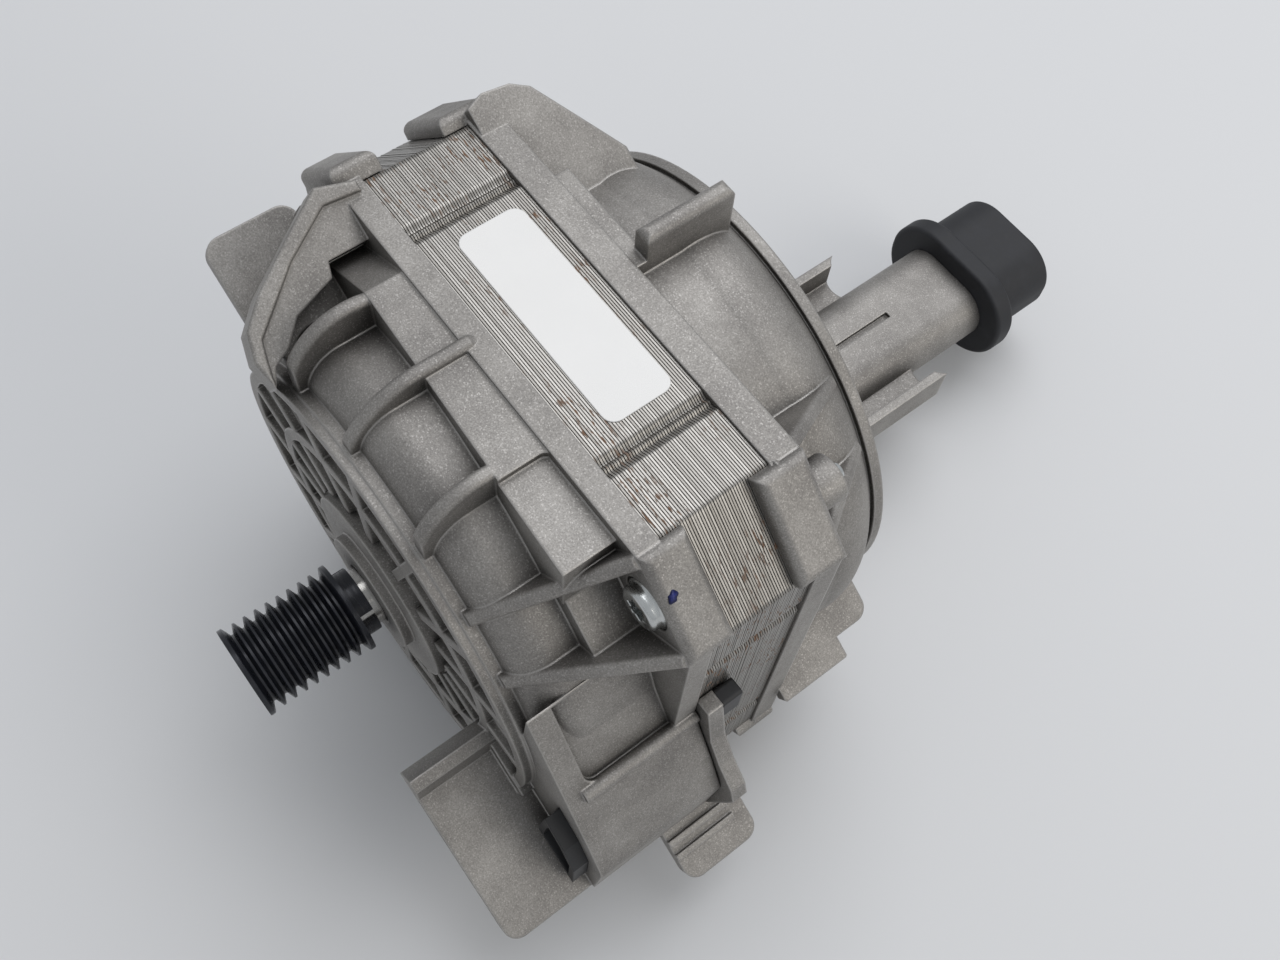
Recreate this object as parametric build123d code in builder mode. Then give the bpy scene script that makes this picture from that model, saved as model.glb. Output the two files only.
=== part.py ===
from build123d import *
import math
import os

# Belt-drive brushless motor of a washing machine: a square laminated stator clamped
# between two die-cast shields by four long screws, with a grooved pulley in front and
# a rubber-sleeved support arm behind.
# Frame: the shaft runs along Y with the pulley at the front (-Y), +Z is up through the
# label, and the origin is on the shaft axis at the middle of the belt track. Millimetres.

os.makedirs("parts", exist_ok=True)

# Pulley
groove_count = 9
groove_pitch = 2.34
groove_depth = 1.75
groove_flat = 0.45
pulley_radius = 9.15
pulley_flange_radius = 9.45
pulley_flange_width = 0.9
pulley_neck_radius = 6.9
pulley_neck_length = 3.0
pulley_slit_width = 2.2
pulley_slit_count = 3
shaft_end_recess = 1.2

# Stator stack
belt_to_stack = 50.05
stack_half = 57.25
stack_leg = 15.4
stack_length = 22.0
slot_count = 12
air_gap = 0.6
shoe_thickness = 2.8
slot_opening = 2.6
tooth_width = 9.0
slot_outer_radius = 47.8
notch_offset = 27.5
notch_width = 4.4
notch_floor = 1.4
notch_depth = 1.3
screw_offset = 46.5

# Slot insulation and coils
frame_plate = 1.5
frame_wall = 1.4
frame_height = 7.5
coil_side = 3.6
coil_end = 5.2
coil_corner = 2.4
coil_play = 0.4

# Rotor and shaft
rotor_radius = 33.0
magnet_thickness = 6.2
magnet_count = 8
magnet_gap = 1.7
rotor_half_length = 12.0
rotor_plate_thickness = 1.6
lightening_radius = 4.2
lightening_count = 6
lightening_circle = 17.5
shaft_core_radius = 8.5
shaft_front_radius = 7.5
shaft_nose_radius = 6.0
shaft_rear_radius = 6.0
shaft_chamfer = 0.8
shaft_end_inset = 1.0

# Bearings
front_race_radius = 17.5
front_bearing_width = 11.0
rear_race_radius = 16.0
rear_bearing_width = 10.0
race_wall = 2.6
ball_radius = 2.9
ball_count = 8
ball_groove_play = 0.08
seal_thickness = 0.5
seal_recess = 0.4
cage_thickness = 1.8
cage_half_width = 3.7
cage_play = 0.15
washer_thickness = 0.5

# Through-screws
screw_radius = 2.1
screw_length = 39.6
screw_head_radius = 4.3
screw_head_height = 2.9
screw_flange_radius = 4.9
screw_flange_height = 0.9
screw_crown = 1.1
screw_socket_radius = 2.0
screw_socket_depth = 1.6
screw_point = 1.0
screw_point_radius = 1.4

# Label
label_length = 44.7
label_width = 13.4
label_thickness = 0.2
label_shift = 1.5
label_corner = 2.4

# Both shields
rim_half = 58.0
rim_leg = 15.4
wall = 3.0
bowl_radius = 54.0
land_floor = 44.0
rib_thickness = 2.8
rib_rounding = 1.1
edge_rounding = 0.6
corner_angle = 45.0
corner_rib_angle = 7.8
cover_half_width = 10.6
cover_rounding = 1.8
cover_clearance = 0.25

# Front shield, measured forward from the stack's front face
front_rim_depth = 4.7
front_seat_depth = 3.9
land_depth = 12.0
land_right_depth = 14.8
land_right = 38.0
land_left = -22.0
land_slope_end = -42.0
land_slope_drop = 11.5
panel_left = 19.6
panel_start_depth = 4.2
panel_drop = 1.5
panel_corner = 2.0
front_bowl_straight = 18.7
front_bowl_depth = 26.7
front_disc_radius = 47.5
front_disc_depth = 28.9
hub_radius = 20.5
hub_depth = 31.9
boss_radius = 12.5
boss_depth = 34.0
boss_wall = 3.0
front_cover_reach = 4.4
front_cover_distance = 72.6
shelf_cover_distance = 74.5
front_rib_top = 71.6
front_rib_top_depth = 5.4
front_rib_end = 49.6
front_rib_end_depth = 27.8
left_rib_x = -21.4
middle_rib_x = -3.6
right_rib_x = 17.4
bowl_rib_top = 56.6
bowl_rib_middle = 56.2
bowl_rib_middle_depth = 22.4
bowl_rib_end = 50.2
land_rib_lift = 1.5
land_rib_start = 0.8
pad_radius = 58.5
pad_depth = 14.4
pad_half_width = 7.4
disc_rib_count = 16
disc_rib_width = 2.2
disc_rib_height = 1.7
disc_ring_width = 2.6

# Mounting plane: its u axis is +X turned down by this angle, heights are square to it
mount_tilt = 33.0
plate_height = 10.0
plate_thickness = 3.2
plate_corner = 3.4
right_plate_inner = 34.0
right_plate_outer = 72.6
right_plate_front = 47.8
right_tail_inner = 65.8
right_tail_back = -6.0
tab_outer = 87.0
tab_front = 10.8
tab_back = -7.6
tab_drop = 1.6
tab_ridge_width = 1.4
tab_ridge_height = 0.9
tab_ridge_pitch = 3.4
left_plate_height = 8.2
left_plate_outer = 71.2
left_plate_inner = 48.0
left_plate_front = 27.6
left_plate_back = 9.2
flange_width = 2.6
flange_height = 5.0
flange_foot = 3.4
plate_root_height = 3.0

# Corner shelf of the front shield and corner panel of the rear shield, in the mounting plane
shelf_height = 27.5
shelf_base = 5.0
shelf_reach = 69.0
shelf_depth = 32.6
shelf_slope_depth = 10.0
shelf_slope_base = 10.8
shelf_tip_base = 18.5
shelf_web_height = 21.0
bead_rise = 1.1
panel_height = 28.0
panel_base = 5.0
panel_reach = 70.0
panel_depth = 24.2

# Connector housing, in the mounting plane
housing_reach = 73.1
housing_height = 36.8
housing_round = 6.0
mouth_depth = 28.4
cavity_depth = 7.0
field_drop = 1.8
field_depth = 23.6
field_left = 24.0
field_right = 43.0
field_round = 2.6
ridge_radius = 1.5
ridge_place = 44.3
insert_play = 0.15
insert_wall = 1.5
insert_proud = 3.4
insert_floor = 5.0
pin_count = 3
pin_width = 1.6
pin_thickness = 0.8
pin_length = 14.0
pin_pitch = 3.2
pin_place = 59.0
pin_height = 17.5

# Connector cover and lead guide, behind the housing
cover_reach = 72.6
cover_top = 14.0
cover_thickness = 3.4
lead_width = 3.6
lead_height = 9.0
lead_length = 4.4
lead_rounding = 0.8

# Rear shield, measured backward from the stack's rear face
rear_rim_depth = 5.8
rear_bowl_straight = 16.0
rear_end_radius = 48.6
rear_lip_radius = 50.2
rear_lip_width = 2.2
rear_depth = 31.8
rear_cap_wall = 3.4
rear_hub_radius = 19.5
rear_hub_rise = 1.6
rear_cover_reach = 4.2
rear_cover_distance = 73.5
panel_cover_reach = 4.8
rear_rib_top = 73.0
rear_rib_top_depth = 0.6
rear_rib_end = 52.0
rear_rib_end_depth = 27.4
screw_boss_radius = 4.5
screw_boss_depth = 11.8
rear_land_depth = 9.0
rear_land_left = -24.0
rear_land_right = 0.1
bar_left = -3.5
bar_right = 0.1
bar_top = 63.0
bar_front_depth = 8.2
bar_back_depth = 27.0
bar_rounding = 1.6
side_plate_height = 8.0
side_plate_inner = 48.0
side_plate_outer = 62.4
side_plate_front = 6.6
side_plate_back = 32.0
side_tab_outer = 67.6
side_tab_front = 5.0
side_tab_back = 22.6

# Support arm, behind the rear shield
arm_height = -37.7
arm_width = 26.4
arm_thickness = 16.0
arm_rounding = 7.6
arm_depth = 127.0
arm_groove_width = 1.6
arm_groove_depth = 1.2
arm_groove_end = 90.0
wing_half_span = 21.4
wing_thickness = 3.0
wing_depth = 93.0
wing_lip_height = 7.0
wing_lip_width = 2.2
wing_notch_radius = 6.0

# Rubber sleeve on the arm
sleeve_end_wall = 6.7
sleeve_flange_width = 39.0
sleeve_flange_height = 27.5
sleeve_flange_thickness = 5.5
sleeve_flange_corner = 13.0
sleeve_width = 31.0
sleeve_height = 22.6
sleeve_corner = 10.0
sleeve_length = 22.2
sleeve_edge = 1.1

# General clearances
part_clearance = 0.3
shaft_clearance = 0.7
overrun = 1.0

# Plans of the shelf, its bead, its web and the rear panel, as shares of their reach and depth
shelf_plan_shares = (
    (-0.83, 0.05), (-0.97, 0.05), (-1.00, 0.27), (-0.93, 0.51), (-0.84, 0.80), (-0.775, 0.95),
    (-0.70, 1.00), (-0.62, 0.97), (-0.67, 0.91), (-0.69, 0.81), (-0.75, 0.68), (-0.79, 0.42), (-0.83, 0.39),
)
bead_plan_shares = (
    (-0.94, 0.05), (-0.97, 0.05), (-1.00, 0.27), (-0.93, 0.51), (-0.84, 0.80), (-0.775, 0.95),
    (-0.70, 1.00), (-0.62, 0.97), (-0.695, 0.93), (-0.74, 0.90), (-0.79, 0.77), (-0.87, 0.56), (-0.95, 0.27),
)
web_plan_shares = ((-0.84, 0.06), (-0.84, 0.43), (-0.75, 0.80), (-0.64, 0.83), (-0.64, 0.06))
panel_plan_shares = (
    (-0.66, 0.02), (-0.98, 0.02), (-1.00, 0.17), (-0.99, 0.40), (-0.96, 0.54), (-0.825, 0.79),
    (-0.71, 1.00), (-0.60, 1.00),
)

# Sections of the housing and its cavity, as shares of the housing's reach and height
housing_section_shares = ((0.32, 1.33), (0.755, 0.90), (0.875, 0.76), (1.00, 0.285), (1.00, 0.20), (0.60, 0.20))
cavity_section_shares = (
    (0.645, 0.79), (0.76, 0.745), (0.845, 0.645), (0.94, 0.335), (0.752, 0.335), (0.70, 0.54),
)

# Outline of the connector cover, as shares of its width and height above its lowest inner corner
cover_section_shares = (
    (0.00, 1.00), (0.22, 1.00), (0.38, 0.72), (0.62, 0.56), (0.92, 0.42), (1.00, 0.32), (0.92, 0.20),
)
cover_foot_share = 0.64

stack_front_y = belt_to_stack
stack_rear_y = belt_to_stack + stack_length
stack_middle_y = belt_to_stack + stack_length / 2
bore_radius = rotor_radius + air_gap
shoe_radius = bore_radius + shoe_thickness
inner_radius = bowl_radius - wall
tilt_sine = math.sin(math.radians(mount_tilt))
tilt_cosine = math.cos(math.radians(mount_tilt))


def front_y(depth):
    """Y of a place this far in front of the stack."""
    return stack_front_y - depth


def rear_y(depth):
    """Y of a place this far behind the stack."""
    return stack_rear_y + depth


def cross_plane(y, turn=0):
    """Plane across the shaft, facing forward: local x is +X turned down by this angle."""
    turned = math.radians(turn)
    return Plane(origin=(0, y, 0), x_dir=(math.cos(turned), 0, -math.sin(turned)), z_dir=(0, -1, 0))


def radial_plane(angle, shift=0):
    """Plane along the shaft: local x points outward at this angle, local y is +Y."""
    turned = math.radians(angle)
    outward = (math.cos(turned), 0, math.sin(turned))
    return Plane(origin=(shift, 0, 0), x_dir=outward, z_dir=(-math.sin(turned), 0, math.cos(turned)))


def mount_plane(height):
    """Plane parallel to the mounting plane, facing up: local x is u, local y is +Y."""
    origin = (height * tilt_sine, 0, height * tilt_cosine)
    return Plane(origin=origin, x_dir=(tilt_cosine, 0, -tilt_sine), z_dir=(tilt_sine, 0, tilt_cosine))


def sized(shares, first, second):
    """Points from a table of shares of two sizes."""
    return [(first * first_share, second * second_share) for first_share, second_share in shares]


def octagon_prism(half, leg, y, length):
    """Square bar along the shaft with chamfered corners, from y toward the front."""
    with BuildPart() as bar:
        with BuildSketch(cross_plane(y)) as outline:
            Rectangle(2 * half, 2 * half)
            chamfer(outline.vertices(), leg)
        extrude(amount=length)
    return bar.part


def ring_prism(outer, inner, y, length):
    """Ring along the shaft, from y toward the front."""
    with BuildPart() as ring:
        with BuildSketch(cross_plane(y)):
            Circle(outer)
            Circle(inner, mode=Mode.SUBTRACT)
        extrude(amount=length)
    return ring.part


def turned_solid(outline):
    """Solid turned about the shaft from (radius, y) points."""
    with BuildPart() as solid:
        with BuildSketch(Plane.XY):
            with BuildLine():
                Polyline(*outline, close=True)
            make_face()
        revolve(axis=Axis.Y)
    return solid.part


def slab(plane, outline, thickness):
    """Flat solid from an outline of points on a plane."""
    with BuildPart() as solid:
        with BuildSketch(plane):
            with BuildLine():
                Polyline(*outline, close=True)
            make_face()
        extrude(amount=thickness)
    return solid.part


def block(plane, low, high, start, end, length):
    """Square-cornered solid on a plane, between two places in local x and two in local y."""
    with BuildPart() as solid:
        with BuildSketch(plane):
            with Locations(((low + high) / 2, (start + end) / 2)):
                Rectangle(high - low, abs(end - start))
        extrude(amount=length)
    return solid.part


def plate(height, low, high, start, end, corner):
    """Plate in the mounting plane with its top at this height and rounded corners."""
    with BuildPart() as solid:
        with BuildSketch(mount_plane(height)):
            with Locations(((low + high) / 2, (start + end) / 2)):
                RectangleRounded(high - low, abs(end - start), corner)
        extrude(amount=-plate_thickness)
    return solid.part


# Stator stack: laminations with twelve teeth, screw holes and weld notches
with BuildPart() as stator_stack:
    with BuildSketch(cross_plane(stack_rear_y)) as lamination:
        Rectangle(2 * stack_half, 2 * stack_half)
        chamfer(lamination.vertices(), stack_leg)
        Circle(slot_outer_radius, mode=Mode.SUBTRACT)
        tooth_length = slot_outer_radius - bore_radius
        with PolarLocations(bore_radius + tooth_length / 2, slot_count):
            Rectangle(tooth_length + 2 * overrun, tooth_width)
        Circle(shoe_radius)
        with PolarLocations(bore_radius + shoe_thickness / 2, slot_count, start_angle=180 / slot_count):
            Rectangle(shoe_thickness + 2 * overrun, slot_opening, mode=Mode.SUBTRACT)
        Circle(bore_radius, mode=Mode.SUBTRACT)
        with GridLocations(2 * screw_offset, 2 * screw_offset, 2, 2):
            Circle(screw_radius + part_clearance, mode=Mode.SUBTRACT)
        with PolarLocations(stack_half - notch_depth, 4):
            with Locations((0, -notch_offset), (0, notch_offset)):
                Polygon((0, -notch_floor / 2), (notch_depth, -notch_width / 2), (notch_depth, notch_width / 2),
                        (0, notch_floor / 2), align=None, mode=Mode.SUBTRACT)
    extrude(amount=stack_length)
stator_stack.part.label = "stator_stack"
export_step(stator_stack.part, "parts/stator_stack.step")

# Slot insulation: one moulded end frame at each end of the stack
frame_radius = slot_outer_radius - part_clearance


def end_frame(plate_y, fence_y):
    """Insulating end frame: a plate over the teeth between an outer and an inner fence."""
    with BuildPart() as frame:
        with BuildSketch(cross_plane(plate_y)):
            Circle(frame_radius + frame_wall)
            Circle(frame_radius, mode=Mode.SUBTRACT)
            plate_length = frame_radius + frame_wall / 2 - shoe_radius
            with PolarLocations(shoe_radius + plate_length / 2, slot_count):
                Rectangle(plate_length, tooth_width)
        extrude(amount=frame_plate)
        with BuildSketch(cross_plane(fence_y)):
            Circle(shoe_radius + frame_wall)
            Circle(shoe_radius, mode=Mode.SUBTRACT)
            with PolarLocations(shoe_radius, slot_count, start_angle=180 / slot_count):
                Rectangle(4 * frame_wall, 2 * slot_opening, mode=Mode.SUBTRACT)
            Circle(frame_radius + frame_wall)
            Circle(frame_radius, mode=Mode.SUBTRACT)
        extrude(amount=frame_height)
    return frame.part


front_end_frame = end_frame(stack_front_y, stack_front_y)
front_end_frame.label = "front_end_frame"
export_step(front_end_frame, "parts/front_end_frame.step")

rear_end_frame = end_frame(stack_rear_y + frame_plate, stack_rear_y + frame_height)
rear_end_frame.label = "rear_end_frame"
export_step(rear_end_frame, "parts/rear_end_frame.step")

# Stator coils: one concentrated winding on each tooth
coil_inner = shoe_radius + frame_wall + part_clearance
coil_hole_width = tooth_width + 2 * coil_play
coil_hole_length = stack_length + 2 * frame_plate + 2 * coil_play
coil_half_width = coil_hole_width / 2 + coil_side
coil_outer = math.sqrt((frame_radius - part_clearance) ** 2 - coil_half_width ** 2)
with BuildPart() as stator_coils:
    for tooth in range(slot_count):
        turned = math.radians(360 * tooth / slot_count)
        outward = (math.cos(turned), 0, math.sin(turned))
        centre = (coil_inner * outward[0], stack_middle_y, coil_inner * outward[2])
        with BuildSketch(Plane(origin=centre, x_dir=(0, 1, 0), z_dir=outward)):
            RectangleRounded(coil_hole_length + 2 * coil_end, 2 * coil_half_width, coil_corner)
            RectangleRounded(coil_hole_length, coil_hole_width, coil_play, mode=Mode.SUBTRACT)
        extrude(amount=coil_outer - coil_inner)
stator_coils.part.label = "stator_coils"
export_step(stator_coils.part, "parts/stator_coils.step")

# Places of the bearings along the shaft
front_bearing_start = front_y(boss_depth - boss_wall)
front_bearing_end = front_bearing_start + front_bearing_width
rear_bearing_end = rear_y(rear_depth - rear_cap_wall - washer_thickness)
rear_bearing_start = rear_bearing_end - rear_bearing_width


def bearing(outer, inner, start_y, width):
    """Outer race, inner race, balls, cage and seals of a ball bearing, by name."""
    pitch = (outer + inner) / 2
    middle_y = start_y + width / 2
    end_y = start_y + width
    seal_inner = inner + race_wall + part_clearance
    with BuildPart() as groove_ring:
        with Locations((0, middle_y, 0)):
            Torus(pitch, ball_radius + ball_groove_play, rotation=(90, 0, 0))
    with BuildPart() as outer_race:
        add(ring_prism(outer, outer - race_wall, end_y, width))
        add(groove_ring.part, mode=Mode.SUBTRACT)
    with BuildPart() as inner_race:
        add(ring_prism(inner + race_wall, inner, end_y, width))
        add(groove_ring.part, mode=Mode.SUBTRACT)
    with BuildPart() as balls:
        with Locations(cross_plane(middle_y)):
            with PolarLocations(pitch, ball_count):
                Sphere(ball_radius)
    with BuildPart() as cage:
        add(ring_prism(pitch + cage_thickness / 2, pitch - cage_thickness / 2, middle_y + cage_half_width,
                       2 * cage_half_width))
        for ball in range(ball_count):
            turned = math.radians(360 * ball / ball_count)
            outward = (math.cos(turned), 0, math.sin(turned))
            inside = pitch - cage_thickness
            pocket_place = (inside * outward[0], middle_y, inside * outward[2])
            with BuildSketch(Plane(origin=pocket_place, x_dir=(0, 1, 0), z_dir=outward)):
                Circle(ball_radius + cage_play)
            extrude(amount=2 * cage_thickness, mode=Mode.SUBTRACT)
    with BuildPart() as seals:
        add(ring_prism(outer - race_wall, seal_inner, start_y + seal_recess + seal_thickness, seal_thickness))
        add(ring_prism(outer - race_wall, seal_inner, end_y - seal_recess, seal_thickness))
    return {"outer_race": outer_race.part, "inner_race": inner_race.part, "balls": balls.part,
            "cage": cage.part, "seals": seals.part}


bearings = {
    "front_bearing": bearing(front_race_radius, shaft_front_radius, front_bearing_start, front_bearing_width),
    "rear_bearing": bearing(rear_race_radius, shaft_rear_radius, rear_bearing_start, rear_bearing_width),
}
for bearing_name, pieces in bearings.items():
    for piece_name, piece in pieces.items():
        piece.label = f"{bearing_name}_{piece_name}"
        export_step(piece, f"parts/{piece.label}.step")

# Preload washer between the rear bearing and the end of its seat
with BuildPart() as preload_washer:
    add(ring_prism(rear_race_radius - part_clearance, rear_race_radius - race_wall,
                   rear_bearing_end + washer_thickness, washer_thickness))
preload_washer.part.label = "preload_washer"
export_step(preload_washer.part, "parts/preload_washer.step")

# Shaft: stepped, turned about the axis
track_length = groove_count * groove_pitch
pulley_front_y = -track_length / 2 - pulley_flange_width
pulley_rear_y = track_length / 2 + pulley_flange_width
shaft_front_y = pulley_front_y + shaft_end_recess
shaft_rear_y = rear_bearing_end - shaft_end_inset
with BuildPart() as shaft:
    add(turned_solid([
        (0, shaft_front_y),
        (shaft_nose_radius - shaft_chamfer, shaft_front_y),
        (shaft_nose_radius, shaft_front_y + shaft_chamfer),
        (shaft_nose_radius, front_bearing_start),
        (shaft_front_radius, front_bearing_start),
        (shaft_front_radius, front_bearing_end),
        (shaft_core_radius, front_bearing_end),
        (shaft_core_radius, rear_bearing_start),
        (shaft_rear_radius, rear_bearing_start),
        (shaft_rear_radius, shaft_rear_y - shaft_chamfer),
        (shaft_rear_radius - shaft_chamfer, shaft_rear_y),
        (0, shaft_rear_y),
    ]))
shaft.part.label = "shaft"
export_step(shaft.part, "parts/shaft.step")

# Rotor core, magnets and end plates
core_radius = rotor_radius - magnet_thickness
rotor_front_y = stack_middle_y - rotor_half_length
rotor_rear_y = stack_middle_y + rotor_half_length
with BuildPart() as rotor_core:
    with BuildSketch(cross_plane(rotor_rear_y)):
        Circle(core_radius)
        Circle(shaft_core_radius, mode=Mode.SUBTRACT)
        with PolarLocations(lightening_circle, lightening_count):
            Circle(lightening_radius, mode=Mode.SUBTRACT)
    extrude(amount=2 * rotor_half_length)
rotor_core.part.label = "rotor_core"
export_step(rotor_core.part, "parts/rotor_core.step")

with BuildPart() as rotor_magnets:
    with BuildSketch(cross_plane(rotor_rear_y)):
        Circle(rotor_radius)
        Circle(core_radius, mode=Mode.SUBTRACT)
        with PolarLocations(core_radius + magnet_thickness / 2, magnet_count):
            Rectangle(magnet_thickness + 2 * overrun, magnet_gap, mode=Mode.SUBTRACT)
    extrude(amount=2 * rotor_half_length)
rotor_magnets.part.label = "rotor_magnets"
export_step(rotor_magnets.part, "parts/rotor_magnets.step")

for plate_name, plate_y in (("front_rotor_plate", rotor_front_y),
                            ("rear_rotor_plate", rotor_rear_y + rotor_plate_thickness)):
    rotor_plate = ring_prism(rotor_radius - part_clearance, shaft_core_radius, plate_y, rotor_plate_thickness)
    rotor_plate.label = plate_name
    export_step(rotor_plate, f"parts/{plate_name}.step")

# Pulley: nine belt grooves between two flanges, with a slit clamping neck behind
half_groove = (groove_pitch - groove_flat) / 2
pulley_outline = [
    (shaft_nose_radius, pulley_front_y),
    (pulley_flange_radius, pulley_front_y),
    (pulley_flange_radius, pulley_front_y + pulley_flange_width),
]
for groove in range(groove_count):
    groove_y = (groove - (groove_count - 1) / 2) * groove_pitch
    pulley_outline += [
        (pulley_radius, groove_y - half_groove),
        (pulley_radius - groove_depth, groove_y - groove_flat / 2),
        (pulley_radius - groove_depth, groove_y + groove_flat / 2),
        (pulley_radius, groove_y + half_groove),
    ]
pulley_outline += [
    (pulley_flange_radius, pulley_rear_y - pulley_flange_width),
    (pulley_flange_radius, pulley_rear_y),
    (pulley_neck_radius, pulley_rear_y),
    (pulley_neck_radius, pulley_rear_y + pulley_neck_length),
    (shaft_nose_radius, pulley_rear_y + pulley_neck_length),
]
with BuildPart() as pulley:
    add(turned_solid(pulley_outline))
    with BuildSketch(cross_plane(pulley_rear_y + pulley_neck_length)):
        with PolarLocations(pulley_neck_radius, pulley_slit_count, start_angle=mount_tilt):
            Rectangle(pulley_neck_radius, pulley_slit_width)
    extrude(amount=pulley_neck_length, mode=Mode.SUBTRACT)
pulley.part.label = "pulley"
export_step(pulley.part, "parts/pulley.step")

# Four long through-screws, as one group
screw_seat_y = front_y(front_seat_depth)
screw_top_y = screw_seat_y - screw_head_height
screw_tip_y = screw_seat_y + screw_length
screw = turned_solid([
    (0, screw_top_y + screw_socket_depth),
    (screw_socket_radius, screw_top_y + screw_socket_depth),
    (screw_socket_radius, screw_top_y),
    (screw_head_radius - screw_crown, screw_top_y),
    (screw_head_radius, screw_top_y + screw_crown),
    (screw_head_radius, screw_seat_y - screw_flange_height),
    (screw_flange_radius, screw_seat_y - screw_flange_height),
    (screw_flange_radius, screw_seat_y),
    (screw_radius, screw_seat_y),
    (screw_radius, screw_tip_y - screw_point),
    (screw_point_radius, screw_tip_y),
    (0, screw_tip_y),
])
with BuildPart() as through_screws:
    for screw_x in (-screw_offset, screw_offset):
        with Locations((screw_x, 0, -screw_offset), (screw_x, 0, screw_offset)):
            add(screw)
through_screws.part.label = "through_screws"
export_step(through_screws.part, "parts/through_screws.step")

# Label on the top flat of the stack
with BuildPart() as label:
    with BuildSketch(Plane.XY.offset(stack_half)):
        with Locations((0, stack_middle_y + label_shift)):
            RectangleRounded(label_length, label_width, label_corner)
    extrude(amount=label_thickness)
label.part.label = "label"
export_step(label.part, "parts/label.step")


def bowl_rib(place):
    """Rib along the shaft from the land over the bowl's shoulder to the disc, top rounded."""
    start = front_y(land_depth - overrun)
    middle = (bowl_rib_middle, front_y(bowl_rib_middle_depth))
    end = front_y(front_disc_depth - edge_rounding)
    with BuildPart() as rib:
        with BuildSketch(radial_plane(90, place)):
            with BuildLine():
                Line((land_floor - wall, start), (bowl_rib_top, start))
                ThreePointArc((bowl_rib_top, start), middle, (bowl_rib_end, end))
                Polyline((bowl_rib_end, end), (land_floor - wall, end), (land_floor - wall, start))
            make_face()
        extrude(amount=rib_thickness / 2, both=True)
        long_edges = rib.faces().filter_by(Axis.X).edges().filter_by(
            lambda edge: min(edge.start_point().Z, edge.end_point().Z) > land_floor)
        fillet(long_edges, rib_rounding)
    return rib.part


def corner_rib(angle, places):
    """Straight rib at this angle about the shaft, its outer edge along the first two places."""
    plane = radial_plane(angle)
    with BuildPart() as rib:
        with BuildSketch(plane):
            with BuildLine():
                Polyline(*places, close=True)
            make_face()
        extrude(amount=rib_thickness / 2, both=True)
        start, end = places[0], places[1]
        outer_middle = plane.from_local_coords(((start[0] + end[0]) / 2, (start[1] + end[1]) / 2))
        outer_face = rib.faces().sort_by_distance(outer_middle)[0]
        long_edges = outer_face.edges().filter_by(
            lambda edge: abs(edge.tangent_at(1 / 2).dot(plane.z_dir)) < 1 / 2)
        fillet(long_edges, rib_rounding)
    return rib.part


def corner_cover(angle, start_y, length, distance):
    """Lug that laps over one chamfered corner of the stack, its outer edges rounded."""
    inner = (2 * stack_half - stack_leg) / math.sqrt(2) + cover_clearance
    with BuildPart() as cover:
        add(block(cross_plane(start_y, -angle), inner, distance, -cover_half_width, cover_half_width, length))
        outer_face = cover.faces().sort_by(Axis((0, 0, 0), radial_plane(angle).x_dir))[-1]
        fillet(outer_face.edges(), cover_rounding)
    return cover.part


def bowl_solid(start_y, straight_y, round_y, end_y, round_radius, lip_radius, hub, hub_y):
    """Turned bowl: a straight side, a rounded shoulder, a lip and a raised hub."""
    shoulder_share = 1 - math.sqrt(1 / 2)
    shoulder_y = round_y - (round_y - straight_y) * shoulder_share
    shoulder_radius = bowl_radius - (bowl_radius - round_radius) * shoulder_share
    with BuildPart() as bowl:
        with BuildSketch(Plane.XY):
            with BuildLine():
                Line((bowl_radius, start_y), (bowl_radius, straight_y))
                ThreePointArc((bowl_radius, straight_y), (shoulder_radius, shoulder_y), (round_radius, round_y))
                Polyline((round_radius, round_y), (lip_radius, round_y), (lip_radius, end_y), (hub, end_y),
                         (hub, hub_y), (0, hub_y), (0, start_y), (bowl_radius, start_y))
            make_face()
        revolve(axis=Axis.Y)
    return bowl.part


# Front shield: the turned bowl with its boss, and the hollow inside it
with BuildPart() as front_bowl:
    add(bowl_solid(front_y(0), front_y(front_bowl_straight), front_y(front_bowl_depth), front_y(front_disc_depth),
                   front_disc_radius, front_disc_radius + edge_rounding / 2, hub_radius, front_y(hub_depth)))
    add(ring_prism(boss_radius, shaft_nose_radius, front_y(hub_depth), boss_depth - hub_depth))

nose_hole = shaft_nose_radius + shaft_clearance
front_hollow = turned_solid([
    (0, front_y(-overrun)),
    (inner_radius, front_y(-overrun)),
    (inner_radius, front_y(front_bowl_straight - wall)),
    (front_disc_radius - wall, front_y(front_disc_depth - wall)),
    (hub_radius, front_y(front_disc_depth - wall)),
    (hub_radius, front_bearing_end),
    (front_race_radius, front_bearing_end),
    (front_race_radius, front_bearing_start),
    (nose_hole, front_bearing_start),
    (nose_hole, front_y(boss_depth + overrun)),
    (0, front_y(boss_depth + overrun)),
])

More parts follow.
